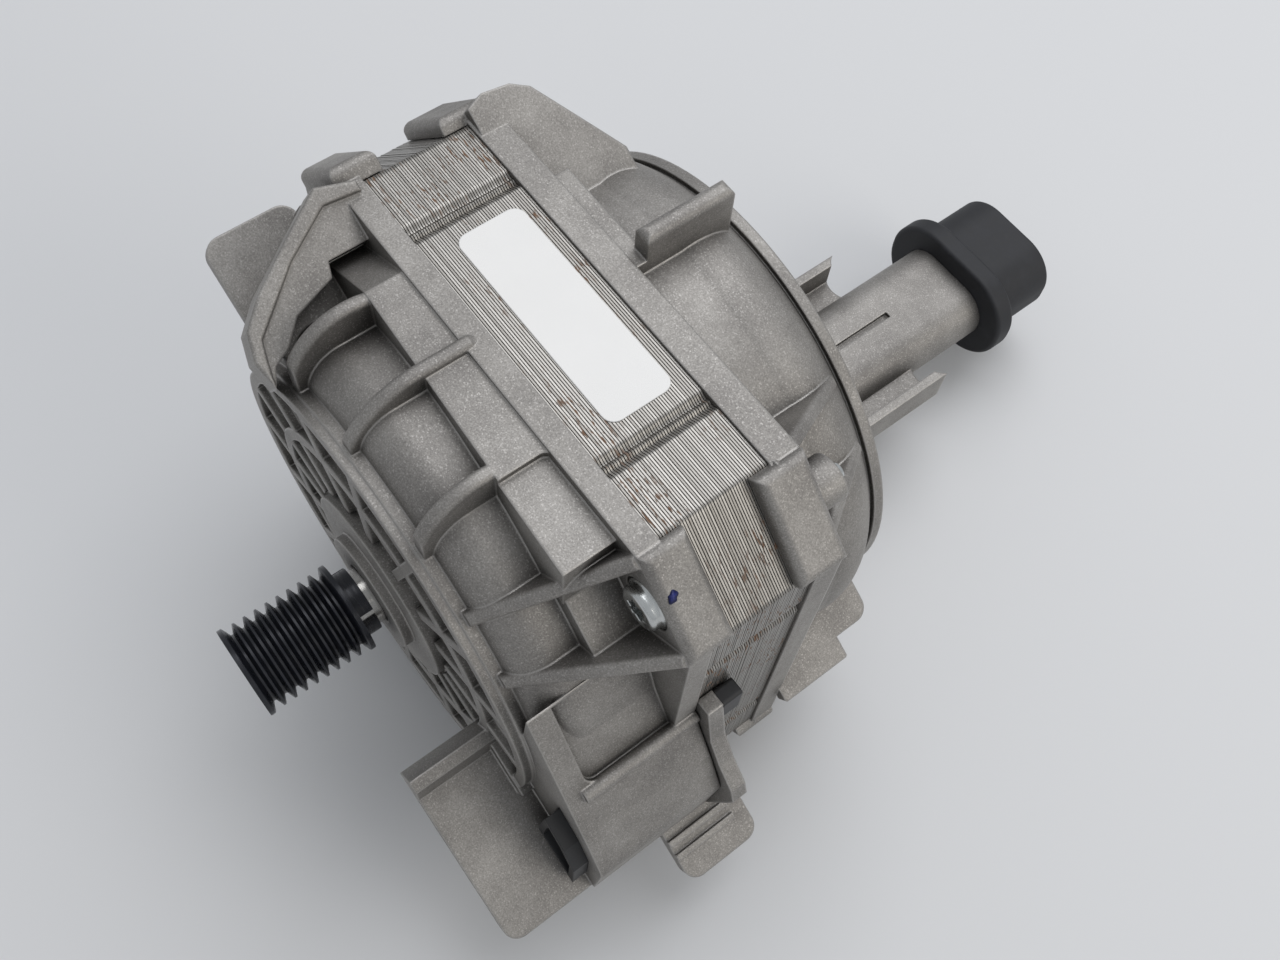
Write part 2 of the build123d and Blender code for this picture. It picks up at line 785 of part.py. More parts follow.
# Front shield: flat land between rim and bowl, sloping down at its left end, with a sunk panel
with BuildPart() as front_land:
    add(slab(Plane.XY.offset(land_floor), [
        (land_slope_end, front_y(0)),
        (land_right, front_y(0)),
        (land_right, front_y(land_right_depth)),
        (land_left, front_y(land_depth)),
        (land_slope_end, front_y(land_depth)),
    ], stack_half - land_floor))
    add(slab(cross_plane(front_y(-overrun)), [
        (land_left, stack_half),
        (land_slope_end - overrun, stack_half - land_slope_drop),
        (land_slope_end - overrun, stack_half + overrun),
        (land_left, stack_half + overrun),
    ], land_right_depth + 2 * overrun), mode=Mode.SUBTRACT)
    with BuildSketch(Plane.XY.offset(stack_half)) as sunk_panel:
        with BuildLine():
            Polyline((panel_left, front_y(panel_start_depth)),
                     (land_right + overrun, front_y(panel_start_depth)),
                     (land_right + overrun, front_y(land_right_depth + overrun)),
                     (panel_left, front_y(land_right_depth + overrun)), close=True)
        make_face()
        inner_corner = sunk_panel.vertices().sort_by_distance((panel_left, front_y(panel_start_depth)))[0]
        fillet(inner_corner, panel_corner)
    extrude(amount=-panel_drop, mode=Mode.SUBTRACT)

# The same land on the underside
plain_land = block(cross_plane(front_y(0)), -land_right, land_right, land_floor, stack_half, land_depth)

# Front shield: the middle rib, raised across the land and running on down the bowl
land_rib_end = front_y(front_disc_depth - edge_rounding)
with BuildPart() as land_rib:
    with BuildSketch(radial_plane(90, middle_rib_x)):
        with BuildLine():
            Polyline((bowl_rib_end, land_rib_end), (land_floor - wall, land_rib_end),
                     (land_floor - wall, front_y(land_rib_start)), (stack_half, front_y(land_rib_start)),
                     (stack_half + land_rib_lift, front_y(land_rib_start + rib_thickness)),
                     (stack_half + land_rib_lift, front_y(land_depth)))
            ThreePointArc((stack_half + land_rib_lift, front_y(land_depth)),
                          (bowl_rib_middle, front_y(bowl_rib_middle_depth)), (bowl_rib_end, land_rib_end))
        make_face()
    extrude(amount=rib_thickness / 2, both=True)
    land_rib_edges = land_rib.faces().filter_by(Axis.X).edges().filter_by(
        lambda edge: min(edge.start_point().Z, edge.end_point().Z) > land_floor)
    fillet(land_rib_edges, rib_rounding)

# Front shield: shelf at the upper left corner, hollow below, with a raised bead around it
shelf_plan = [(u, front_y(depth)) for u, depth in sized(shelf_plan_shares, shelf_reach, shelf_depth)]
bead_plan = [(u, front_y(depth)) for u, depth in sized(bead_plan_shares, shelf_reach, shelf_depth)]
web_plan = [(u, front_y(depth)) for u, depth in sized(web_plan_shares, shelf_reach, shelf_depth)]
shelf_side = Plane(origin=(0, 0, 0), x_dir=(0, -1, 0), z_dir=(-tilt_cosine, 0, tilt_sine))
with BuildPart() as shelf_body:
    add(slab(mount_plane(shelf_base), shelf_plan, shelf_height - shelf_base))
    add(slab(shelf_side, [
        (-front_y(shelf_slope_depth), shelf_base - overrun),
        (-front_y(shelf_depth + overrun), shelf_base - overrun),
        (-front_y(shelf_depth + overrun), shelf_tip_base),
        (-front_y(shelf_slope_depth), shelf_slope_base),
    ], shelf_reach + overrun), mode=Mode.SUBTRACT)
    add(slab(mount_plane(shelf_web_height - wall), web_plan, wall))
with BuildPart() as shelf_bead:
    add(slab(mount_plane(shelf_height - wall), bead_plan, wall + bead_rise))
    bead_top = shelf_bead.faces().sort_by(Axis((0, 0, 0), mount_plane(0).z_dir))[-1]
    fillet(bead_top.edges(), edge_rounding)
with BuildPart() as shelf_pocket:
    with BuildSketch(mount_plane(shelf_base - overrun)):
        with BuildLine():
            Polyline(*shelf_plan, close=True)
        make_face()
        offset(amount=-wall)
    extrude(amount=shelf_height - wall - shelf_base + overrun)

# Front shield: mounting plates at both sides, with an upright flange and ridges on the tab
right_plate = plate(plate_height, right_plate_inner, right_plate_outer, front_y(right_plate_front), front_y(0),
                    plate_corner)
right_tail = plate(plate_height, right_tail_inner, right_plate_outer, front_y(front_rim_depth),
                   front_y(right_tail_back), edge_rounding)
right_tab = plate(plate_height - tab_drop, right_tail_inner, tab_outer, front_y(tab_front), front_y(tab_back),
                  plate_corner)
left_plate = plate(left_plate_height, -left_plate_outer, -left_plate_inner, front_y(left_plate_front),
                   front_y(left_plate_back), plate_corner)
plate_flange = slab(cross_plane(front_y(front_disc_depth - overrun), mount_tilt), [
    (right_plate_inner - flange_width, plate_height - plate_thickness),
    (right_plate_inner - flange_width, plate_height + flange_height),
    (right_plate_inner, plate_height + flange_height),
    (right_plate_inner + flange_foot, plate_height - edge_rounding),
    (right_plate_inner + flange_foot, plate_height - plate_thickness),
], right_plate_front - front_disc_depth + overrun)
plate_root = block(mount_plane(plate_height - plate_thickness / 2), right_plate_inner, front_disc_radius,
                   front_y(front_disc_depth + disc_rib_height + edge_rounding), front_y(front_disc_depth - overrun),
                   plate_thickness / 2 + plate_root_height)
with BuildPart() as tab_ridges:
    for ridge in (1, 2):
        ridge_u = right_plate_outer + ridge * tab_ridge_pitch
        add(block(mount_plane(plate_height - tab_drop - tab_ridge_height), ridge_u, ridge_u + tab_ridge_width,
                  front_y(tab_front), front_y(tab_back + plate_corner), 2 * tab_ridge_height))

# Front shield: connector housing with its sunk field, ridge and cavity
housing_section = sized(housing_section_shares, housing_reach, housing_height)
cavity_section = sized(cavity_section_shares, housing_reach, housing_height)
slope_start = housing_section[0]
slope_end = housing_section[1]


def slope_height(u):
    """Height of the housing's sloping top at this u."""
    slope = (slope_end[1] - slope_start[1]) / (slope_end[0] - slope_start[0])
    return slope_start[1] + (u - slope_start[0]) * slope


with BuildPart() as housing:
    with BuildSketch(cross_plane(front_y(0), mount_tilt)) as housing_face:
        with BuildLine():
            Polyline(*housing_section, close=True)
        make_face()
        fillet(housing_face.vertices().sort_by_distance(housing_section[2])[0], housing_round)
    extrude(amount=mouth_depth)
with BuildPart() as housing_field:
    add(slab(cross_plane(front_y(-overrun), mount_tilt), [
        (field_left, slope_height(field_left) - field_drop),
        (field_right, slope_height(field_right) - field_drop),
        (field_right, slope_height(field_right) + housing_round),
        (field_left, slope_height(field_left) + housing_round),
    ], field_depth + overrun))
    field_corner = cross_plane(front_y(field_depth), mount_tilt).from_local_coords(
        (field_right, slope_height(field_right)))
    upright_edges = housing_field.edges().filter_by(Axis((0, 0, 0), mount_plane(0).z_dir))
    fillet(upright_edges.sort_by_distance(field_corner)[0], field_round)
with BuildPart() as housing_ridge:
    with BuildSketch(cross_plane(front_y(0), mount_tilt)):
        with Locations((ridge_place, slope_height(ridge_place))):
            Circle(ridge_radius)
    extrude(amount=field_depth + ridge_radius)
housing_cavity = slab(cross_plane(front_y(cavity_depth), mount_tilt), cavity_section,
                      mouth_depth - cavity_depth + overrun)

# Front shield: raised network of ribs on the disc around the hub
rib_span = front_disc_radius - hub_radius
ring_middle = (front_disc_radius + hub_radius + disc_ring_width) / 2
with BuildPart() as disc_network:
    with BuildSketch(cross_plane(front_y(front_disc_depth - overrun))):
        Circle(front_disc_radius)
        Circle(front_disc_radius - disc_ring_width, mode=Mode.SUBTRACT)
        with PolarLocations(hub_radius + rib_span / 2, disc_rib_count):
            Rectangle(rib_span - disc_ring_width / 2, disc_rib_width)
    extrude(amount=disc_rib_height + overrun)
    with BuildSketch(cross_plane(front_y(front_disc_depth - overrun))):
        Circle(ring_middle)
        Circle(ring_middle - disc_ring_width, mode=Mode.SUBTRACT)
    extrude(amount=disc_rib_height + overrun)

# Screw holes and head clearances of both shields
with BuildPart() as front_screw_cut:
    for screw_x in (-screw_offset, screw_offset):
        for screw_z in (-screw_offset, screw_offset):
            with BuildSketch(cross_plane(front_y(-front_cover_reach))):
                with Locations((screw_x, screw_z)):
                    Circle(screw_radius + part_clearance)
            extrude(amount=front_cover_reach + front_seat_depth + overrun)
            with BuildSketch(cross_plane(screw_seat_y)):
                with Locations((screw_x, screw_z)):
                    Circle(screw_flange_radius + part_clearance)
            extrude(amount=right_plate_front)

# Front shield: the whole casting
front_rib_places = [
    (front_rib_top, front_y(front_rib_top_depth)),
    (front_rib_end, front_y(front_rib_end_depth)),
    (inner_radius - 2 * wall, front_y(front_rib_end_depth)),
    (inner_radius - 2 * wall, front_y(edge_rounding)),
    (front_rib_top, front_y(edge_rounding)),
]
screw_corners = (corner_angle, -corner_angle, corner_angle - 180)
panel_corner_angle = 180 - corner_angle
front_cover_length = front_cover_reach + front_rim_depth
with BuildPart() as front_shield:
    add(shelf_body.part)
    add(shelf_bead.part)
    add(shelf_pocket.part, mode=Mode.SUBTRACT)
    add(left_plate)
    add(housing.part)
    add(housing_field.part, mode=Mode.SUBTRACT)
    add(octagon_prism(rim_half, rim_leg, front_y(0), front_rim_depth))
    add(front_bowl.part)
    add(front_land.part)
    add(land_rib.part)
    for rib_x in (left_rib_x, right_rib_x):
        add(bowl_rib(rib_x))
    add(plain_land.rotate(Axis.Y, 180))
    for rib_x in (-right_rib_x, right_rib_x):
        add(bowl_rib(rib_x).rotate(Axis.Y, 180))
    for corner in screw_corners:
        add(corner_rib(corner - corner_rib_angle, front_rib_places))
        add(corner_rib(corner + corner_rib_angle, front_rib_places))
        add(block(cross_plane(front_y(0), -corner), land_floor, pad_radius, -pad_half_width, pad_half_width,
                  pad_depth))
        add(corner_cover(corner, front_y(-front_cover_reach), front_cover_length, front_cover_distance))
    add(corner_cover(panel_corner_angle, front_y(-front_cover_reach), front_cover_length, shelf_cover_distance))
    add(right_plate)
    add(right_tail)
    add(right_tab)
    add(tab_ridges.part)
    add(plate_flange)
    add(plate_root)
    add(housing_ridge.part)
    add(disc_network.part)
    add(front_hollow, mode=Mode.SUBTRACT)
    add(housing_cavity, mode=Mode.SUBTRACT)
    add(front_screw_cut.part, mode=Mode.SUBTRACT)
front_shield.part.label = "front_shield"
export_step(front_shield.part, "parts/front_shield.step")

# Connector insert: plastic socket in the housing's cavity, and its three contact pins
with BuildPart() as connector_insert:
    with BuildSketch(cross_plane(front_y(cavity_depth), mount_tilt)):
        with BuildLine():
            Polyline(*cavity_section, close=True)
        make_face()
        offset(amount=-insert_play, kind=Kind.INTERSECTION)
    extrude(amount=mouth_depth - cavity_depth + insert_proud)
    with BuildSketch(cross_plane(front_y(cavity_depth + insert_floor), mount_tilt)):
        with BuildLine():
            Polyline(*cavity_section, close=True)
        make_face()
        offset(amount=-insert_play - insert_wall, kind=Kind.INTERSECTION)
    extrude(amount=mouth_depth - cavity_depth + insert_proud, mode=Mode.SUBTRACT)
with BuildPart() as connector_terminals:
    with BuildSketch(cross_plane(front_y(cavity_depth), mount_tilt)):
        with Locations((pin_place, pin_height)):
            with GridLocations(pin_pitch, 0, pin_count, 1):
                Rectangle(pin_width, pin_thickness)
    extrude(amount=pin_length)
with BuildPart() as pinned_insert:
    add(connector_insert.part)
    add(connector_terminals.part, mode=Mode.SUBTRACT)
pinned_insert.part.label = "connector_insert"
export_step(pinned_insert.part, "parts/connector_insert.step")
connector_terminals.part.label = "connector_terminals"
export_step(connector_terminals.part, "parts/connector_terminals.step")

# Connector cover: plate that closes the housing from behind, beside the stack
cover_inner = stack_half + part_clearance


def above_plate(x):
    """Z just above the right mounting plate at this X."""
    return (plate_height + part_clearance - x * tilt_sine) / tilt_cosine


cover_foot = cover_inner + (cover_reach - cover_inner) * cover_foot_share
cover_bottom = above_plate(cover_inner)
cover_places = sized(cover_section_shares, cover_reach - cover_inner, cover_top - cover_bottom)
cover_outline = [(cover_inner + across, cover_bottom + up) for across, up in cover_places]
cover_outline += [(cover_foot, above_plate(cover_foot)), (cover_inner, cover_bottom)]
cover_front_y = front_y(-part_clearance)
connector_cover = slab(cross_plane(cover_front_y + cover_thickness), cover_outline, cover_thickness)
connector_cover.label = "connector_cover"
export_step(connector_cover, "parts/connector_cover.step")

# Lead guide: moulded block behind the cover, beside the stack
with BuildPart() as lead_block:
    add(block(cross_plane(cover_front_y + cover_thickness + lead_length), cover_inner, cover_inner + lead_width,
              cover_top - lead_height, cover_top, lead_length))
    fillet(lead_block.edges().filter_by(Axis.Y), lead_rounding)
lead_block.part.label = "lead_block"
export_step(lead_block.part, "parts/lead_block.step")

# Rear shield: the turned bowl and the hollow inside it
rear_bowl = bowl_solid(rear_y(0), rear_y(rear_bowl_straight), rear_y(rear_depth - rear_lip_width),
                       rear_y(rear_depth), rear_end_radius, rear_lip_radius, rear_hub_radius,
                       rear_y(rear_depth + rear_hub_rise))
washer_end = rear_bearing_end + washer_thickness
rear_hollow = turned_solid([
    (0, rear_y(-overrun)),
    (inner_radius, rear_y(-overrun)),
    (inner_radius, rear_y(rear_bowl_straight - wall)),
    (rear_end_radius - wall, washer_end),
    (rear_hub_radius, washer_end),
    (rear_hub_radius, rear_bearing_start),
    (rear_race_radius, rear_bearing_start),
    (rear_race_radius, washer_end),
    (0, washer_end),
])

# Rear shield: corner panel at the upper left, hollow below
panel_plan = [(u, rear_y(depth)) for u, depth in sized(panel_plan_shares, panel_reach, panel_depth)]
with BuildPart() as corner_panel:
    add(slab(mount_plane(panel_base), panel_plan, panel_height - panel_base))
    with BuildSketch(mount_plane(panel_base - overrun)):
        with BuildLine():
            Polyline(*panel_plan, close=True)
        make_face()
        offset(amount=-wall)
    extrude(amount=panel_height - wall - panel_base + overrun, mode=Mode.SUBTRACT)

# Rear shield: bar on the top and plates at the right side
with BuildPart() as top_bar:
    add(block(cross_plane(rear_y(bar_back_depth)), bar_left, bar_right, land_floor, bar_top,
              bar_back_depth - bar_front_depth))
    bar_face = top_bar.faces().sort_by(Axis.Z)[-1]
    fillet(bar_face.edges(), bar_rounding)
side_plate = plate(side_plate_height, side_plate_inner, side_plate_outer, rear_y(side_plate_front),
                   rear_y(side_plate_back), plate_corner)
side_tab = plate(side_plate_height, side_plate_inner, side_tab_outer, rear_y(side_tab_front),
                 rear_y(side_tab_back), edge_rounding)

# Rear shield: support arm, an oval bar with a groove on top and a lipped wing on each side
with BuildPart() as arm_bar:
    with BuildSketch(cross_plane(rear_y(arm_depth))):
        with Locations((0, arm_height)):
            RectangleRounded(arm_width, arm_thickness, arm_rounding)
    extrude(amount=arm_depth - rear_depth + wall)
arm_groove = block(cross_plane(rear_y(arm_groove_end)), -arm_groove_width / 2, arm_groove_width / 2,
                   arm_height + arm_thickness / 2 - arm_groove_depth, arm_height + arm_thickness,
                   arm_groove_end - rear_depth)
with BuildPart() as arm_wings:
    with BuildSketch(cross_plane(rear_y(wing_depth))):
        with Locations((0, arm_height)):
            Rectangle(2 * wing_half_span, wing_thickness)
        for lip_x in (-wing_half_span + wing_lip_width / 2, wing_half_span - wing_lip_width / 2):
            with Locations((lip_x, arm_height + wing_lip_height / 2)):
                Rectangle(wing_lip_width, wing_lip_height + wing_thickness)
    extrude(amount=wing_depth - rear_depth + wall)
    notch_x = wing_half_span - wing_lip_width - wing_notch_radius / 2
    with BuildSketch(Plane.XY.offset(arm_height - wing_lip_height)):
        with Locations((-notch_x, rear_y(wing_depth)), (notch_x, rear_y(wing_depth))):
            Circle(wing_notch_radius)
    extrude(amount=2 * wing_lip_height + wing_thickness, mode=Mode.SUBTRACT)

# Rear shield: the whole casting
rear_rib_places = [
    (rear_rib_top, rear_y(rear_rib_top_depth)),
    (rear_rib_end, rear_y(rear_rib_end_depth)),
    (inner_radius - 2 * wall, rear_y(rear_rib_end_depth)),
    (inner_radius - 2 * wall, rear_y(rear_rib_top_depth)),
]
with BuildPart() as rear_shield:
    add(octagon_prism(rim_half, rim_leg, rear_y(rear_rim_depth), rear_rim_depth))
    add(rear_bowl)
    add(block(cross_plane(rear_y(rear_land_depth)), rear_land_left, rear_land_right, land_floor, stack_half,
              rear_land_depth))
    add(top_bar.part)
    for corner in screw_corners:
        add(corner_rib(corner - corner_rib_angle, rear_rib_places))
        add(corner_rib(corner + corner_rib_angle, rear_rib_places))
        add(corner_cover(corner, rear_y(rear_rim_depth), rear_rim_depth + rear_cover_reach, rear_cover_distance))
    add(corner_cover(panel_corner_angle, rear_y(rear_rim_depth), rear_rim_depth + panel_cover_reach,
                     rear_cover_distance))
    add(corner_panel.part)
    add(side_plate)
    add(side_tab)
    add(arm_bar.part)
    add(arm_wings.part)
    add(arm_groove, mode=Mode.SUBTRACT)
    with BuildSketch(cross_plane(rear_y(screw_boss_depth))):
        with GridLocations(2 * screw_offset, 2 * screw_offset, 2, 2):
            Circle(screw_boss_radius)
    extrude(amount=screw_boss_depth)
    add(rear_hollow, mode=Mode.SUBTRACT)
    with BuildSketch(cross_plane(screw_tip_y + overrun)):
        with GridLocations(2 * screw_offset, 2 * screw_offset, 2, 2):
            Circle(screw_radius)
    extrude(amount=screw_length, mode=Mode.SUBTRACT)
rear_shield.part.label = "rear_shield"
export_step(rear_shield.part, "parts/rear_shield.step")

# Rubber sleeve on the arm's end, with a flange toward the motor
sleeve_end_y = rear_y(arm_depth + sleeve_end_wall)
with BuildPart() as arm_sleeve:
    with BuildSketch(cross_plane(sleeve_end_y)):
        with Locations((0, arm_height)):
            RectangleRounded(sleeve_width, sleeve_height, sleeve_corner)
    extrude(amount=sleeve_length)
    with BuildSketch(cross_plane(sleeve_end_y - sleeve_length + sleeve_flange_thickness)):
        with Locations((0, arm_height)):
            RectangleRounded(sleeve_flange_width, sleeve_flange_height, sleeve_flange_corner)
    extrude(amount=sleeve_flange_thickness)
    fillet(arm_sleeve.faces().filter_by(Axis.Y).edges(), sleeve_edge)
    with BuildSketch(cross_plane(rear_y(arm_depth))):
        with Locations((0, arm_height)):
            RectangleRounded(arm_width, arm_thickness, arm_rounding)
    extrude(amount=arm_depth, mode=Mode.SUBTRACT)
arm_sleeve.part.label = "arm_sleeve"
export_step(arm_sleeve.part, "parts/arm_sleeve.step")
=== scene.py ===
"""Looks of the washing machine motor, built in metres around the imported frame."""

import logging
import math
import random
from dataclasses import dataclass, field
from enum import Enum

import bmesh
import bpy
from mathutils import Matrix, Vector


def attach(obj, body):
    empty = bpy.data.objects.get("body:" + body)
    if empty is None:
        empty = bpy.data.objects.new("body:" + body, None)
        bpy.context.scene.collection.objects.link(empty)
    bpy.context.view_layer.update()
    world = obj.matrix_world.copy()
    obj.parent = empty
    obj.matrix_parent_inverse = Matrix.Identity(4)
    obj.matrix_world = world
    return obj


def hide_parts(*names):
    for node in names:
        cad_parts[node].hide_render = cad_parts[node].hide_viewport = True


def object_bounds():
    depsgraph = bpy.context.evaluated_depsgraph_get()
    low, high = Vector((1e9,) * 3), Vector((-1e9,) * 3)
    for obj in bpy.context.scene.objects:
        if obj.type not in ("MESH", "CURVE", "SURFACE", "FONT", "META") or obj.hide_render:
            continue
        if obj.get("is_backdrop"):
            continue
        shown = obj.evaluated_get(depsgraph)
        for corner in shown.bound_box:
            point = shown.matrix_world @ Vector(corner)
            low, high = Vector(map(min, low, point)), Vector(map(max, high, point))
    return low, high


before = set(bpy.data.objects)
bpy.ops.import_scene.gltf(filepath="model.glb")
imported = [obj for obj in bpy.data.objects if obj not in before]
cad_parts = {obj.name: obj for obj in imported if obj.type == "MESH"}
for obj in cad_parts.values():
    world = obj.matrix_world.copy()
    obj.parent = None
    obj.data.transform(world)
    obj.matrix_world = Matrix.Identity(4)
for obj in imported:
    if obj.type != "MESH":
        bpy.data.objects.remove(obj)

LOG = logging.getLogger("motor")
MM = 0.001
STACK_FRONT_MM = 50.05
LAMINATION_PITCH_MM = 0.5


class Body(Enum):
    """The bodies of the motor that pieces ride on."""

    STATOR = "stator"
    ROTOR = "rotor"


def linear(colour: str) -> tuple[float, float, float, float]:
    """Turn an sRGB hex colour into linear light.

    Args:
        colour: six hex digits after a hash mark.

    Returns:
        Red, green, blue and an alpha of one.
    """
    channels = [int(colour[start:start + 2], 16) / 255 for start in (1, 3, 5)]
    light = [value / 12.92 if value <= 0.04045 else ((value + 0.055) / 1.055) ** 2.4 for value in channels]
    return (light[0], light[1], light[2], 1.0)


def per_metre(size_mm: float) -> float:
    """Texture scale at which one cell or grain is this many millimetres wide."""
    return 1 / (size_mm * MM)


def add_node(tree: bpy.types.NodeTree, kind: str, settings: dict[str, object],
             inputs: dict[str | int, object]) -> bpy.types.Node:
    """Add a node to a tree with its settings, values and links.

    Args:
        tree: the tree that takes the node.
        kind: Blender's name of the node's type.
        settings: values of the node's own properties.
        inputs: for each input, a plain value or the output socket that feeds it.

    Returns:
        The new node.
    """
    node = tree.nodes.new(kind)
    for name, value in settings.items():
        setattr(node, name, value)
    for name, value in inputs.items():
        if isinstance(value, bpy.types.NodeSocket):
            tree.links.new(value, node.inputs[name])
        else:
            node.inputs[name].default_value = value
    return node


def set_ramp(node: bpy.types.Node, stops: list[tuple[float, str]]) -> None:
    """Give a colour ramp its stops.

    Args:
        node: the colour ramp.
        stops: place and hex colour of each stop, from low to high.
    """
    ramp = node.color_ramp
    ramp.elements[0].position = stops[0][0]
    ramp.elements[0].color = linear(stops[0][1])
    ramp.elements[1].position = stops[-1][0]
    ramp.elements[1].color = linear(stops[-1][1])
    for place, colour in stops[1:-1]:
        ramp.elements.new(place).color = linear(colour)


def new_material(name: str) -> tuple[bpy.types.Material, bpy.types.Node]:
    """Start a node material.

    Args:
        name: the material's name.

    Returns:
        The material and its surface shader.
    """
    material = bpy.data.materials.new(name)
    material.use_nodes = True
    shader = next(node for node in material.node_tree.nodes if node.type == "BSDF_PRINCIPLED")
    return material, shader


@dataclass(frozen=True)
class DieCastAluminium:
    """Bare aluminium, pressure die-cast and tumbled: matt, warm grey, with a grain that glitters."""

    name: str = "die_cast_aluminium"
    base: str = "#918e8a"
    dark: str = "#7c7976"
    bright: str = "#a5a29e"
    glint: str = "#bfbcb8"
    # Dark grey of the painted shade in recesses.
    recess_shade: str = "#4a4744"
    metallic: float = 0.9
    roughness: float = 0.6
    polished_share: float = 0.6
    grain_mm: float = 0.3
    grain_height_mm: float = 0.035
    grain_strength: float = 0.55
    flow_mm: float = 16.0
    tone_range: tuple[float, float] = (0.72, 1.28)
    glint_mm: float = 0.22
    glint_range: tuple[float, float] = (0.84, 1.0)
    glint_strength: float = 0.4
    # Size, range and strength of the painted shade in recesses.
    recess_mm: float = 7.0
    recess_range: tuple[float, float] = (0.85, 0.2)
    recess_strength: float = 0.75
    # Size, range and strength of the painted highlight along the edges.
    edge_mm: float = 0.7
    edge_range: tuple[float, float] = (0.995, 0.86)
    edge_strength: float = 0.7
    scratch_mm: float = 0.5
    scratch_stretch: float = 0.12
    scratch_turn: tuple[float, float, float] = (0.0, 0.6, 0.45)
    scratch_bend: float = 0.6
    scratch_range: tuple[float, float] = (0.72, 0.82)
    scratch_strength: float = 0.6
    handled_range: tuple[float, float] = (0.5, 0.62)

    def build(self) -> bpy.types.Material:
        """Make the material: grainy and cloudy grey, with painted shade in its recesses and a painted
        highlight on its edges.

        Returns:
            The material.
        """
        material, shader = new_material(self.name)
        tree = material.node_tree
        place = add_node(tree, "ShaderNodeTexCoord", {}, {}).outputs["Object"]
        # The real grain and glints are about 0.1 mm wide. They are drawn coarser so that they show.
        grain = add_node(tree, "ShaderNodeTexNoise", {}, {
            "Vector": place, "Scale": per_metre(self.grain_mm), "Detail": 2.0, "Roughness": 0.6})
        flow = add_node(tree, "ShaderNodeTexNoise", {}, {
            "Vector": place, "Scale": per_metre(self.flow_mm), "Detail": 4.0, "Roughness": 0.62})
        glint = add_node(tree, "ShaderNodeTexVoronoi", {}, {
            "Vector": place, "Scale": per_metre(self.glint_mm)})
        glint_value = add_node(tree, "ShaderNodeSeparateColor", {}, {"Color": glint.outputs["Color"]})
        sparkle = add_node(tree, "ShaderNodeMapRange", {}, {
            "Value": glint_value.outputs["Red"], "From Min": self.glint_range[0],
            "From Max": self.glint_range[1], "To Max": self.glint_strength})
        tone = add_node(tree, "ShaderNodeMath", {"operation": "ADD"}, {
            0: grain.outputs["Fac"], 1: flow.outputs["Fac"]})
        tint = add_node(tree, "ShaderNodeMapRange", {}, {
            "Value": tone.outputs["Value"], "From Min": self.tone_range[0],
            "From Max": self.tone_range[1]})
        body = add_node(tree, "ShaderNodeValToRGB", {}, {"Fac": tint.outputs["Result"]})
        set_ramp(body, [(0.0, self.dark), (0.5, self.base), (1.0, self.bright)])
        # Painted shade: where ambient occlusion finds a recess, the colour is mixed towards a dark grey,
        # more so the more enclosed the surface is.
        openness = add_node(tree, "ShaderNodeAmbientOcclusion", {"samples": 4}, {
            "Distance": self.recess_mm * MM})
        recess = add_node(tree, "ShaderNodeMapRange", {}, {
            "Value": openness.outputs["AO"], "From Min": self.recess_range[0],
            "From Max": self.recess_range[1], "To Max": self.recess_strength})
        recess_shaded = add_node(tree, "ShaderNodeMix", {"data_type": "RGBA"}, {
            0: recess.outputs["Result"], 6: body.outputs["Color"], 7: linear(self.recess_shade)})
        bevel = add_node(tree, "ShaderNodeBevel", {"samples": 6}, {"Radius": self.edge_mm * MM})
        geometry = add_node(tree, "ShaderNodeNewGeometry", {}, {})
        # Painted highlight along the edges: where the bevelled normal turns away from the true normal, the
        # colour is mixed towards the pale glint grey and the surface is made glossier.
        bend = add_node(tree, "ShaderNodeVectorMath", {"operation": "DOT_PRODUCT"}, {
            0: bevel.outputs["Normal"], 1: geometry.outputs["Normal"]})
        edge = add_node(tree, "ShaderNodeMapRange", {}, {
            "Value": bend.outputs["Value"], "From Min": self.edge_range[0],
            "From Max": self.edge_range[1], "To Max": self.edge_strength})
        slant = add_node(tree, "ShaderNodeMapping", {}, {
            "Vector": place, "Rotation": self.scratch_turn, "Scale": (1.0, self.scratch_stretch, 1.0)})
        strokes = add_node(tree, "ShaderNodeTexNoise", {}, {
            "Vector": slant.outputs["Vector"], "Scale": per_metre(self.scratch_mm),
            "Distortion": self.scratch_bend})
        scratch = add_node(tree, "ShaderNodeMapRange", {}, {
            "Value": strokes.outputs["Fac"], "From Min": self.scratch_range[0],
            "From Max": self.scratch_range[1], "To Max": self.scratch_strength})
        handled = add_node(tree, "ShaderNodeMapRange", {}, {
            "Value": flow.outputs["Fac"], "From Min": self.handled_range[0],
            "From Max": self.handled_range[1]})
        scraped = add_node(tree, "ShaderNodeMath", {"operation": "MULTIPLY"}, {
            0: scratch.outputs["Result"], 1: handled.outputs["Result"]})
        # This mask holds the painted edge highlight together with the real scratches.
        worn = add_node(tree, "ShaderNodeMath", {"operation": "MAXIMUM"}, {
            0: edge.outputs["Result"], 1: scraped.outputs["Value"]})
        shine = add_node(tree, "ShaderNodeMath", {"operation": "MAXIMUM"}, {
            0: worn.outputs["Value"], 1: sparkle.outputs["Result"]})
        colour = add_node(tree, "ShaderNodeMix", {"data_type": "RGBA"}, {
            0: shine.outputs["Value"], 6: recess_shaded.outputs[2], 7: linear(self.glint)})
        gloss = add_node(tree, "ShaderNodeMapRange", {}, {
            "Value": shine.outputs["Value"], "To Min": self.roughness,
            "To Max": self.polished_share * self.roughness})
        bump = add_node(tree, "ShaderNodeBump", {}, {
            "Strength": self.grain_strength, "Distance": self.grain_height_mm * MM,
            "Height": grain.outputs["Fac"], "Normal": bevel.outputs["Normal"]})
        tree.links.new(colour.outputs[2], shader.inputs["Base Color"])
        tree.links.new(gloss.outputs["Result"], shader.inputs["Roughness"])
        tree.links.new(bump.outputs["Normal"], shader.inputs["Normal"])
        shader.inputs["Metallic"].default_value = self.metallic
        return material


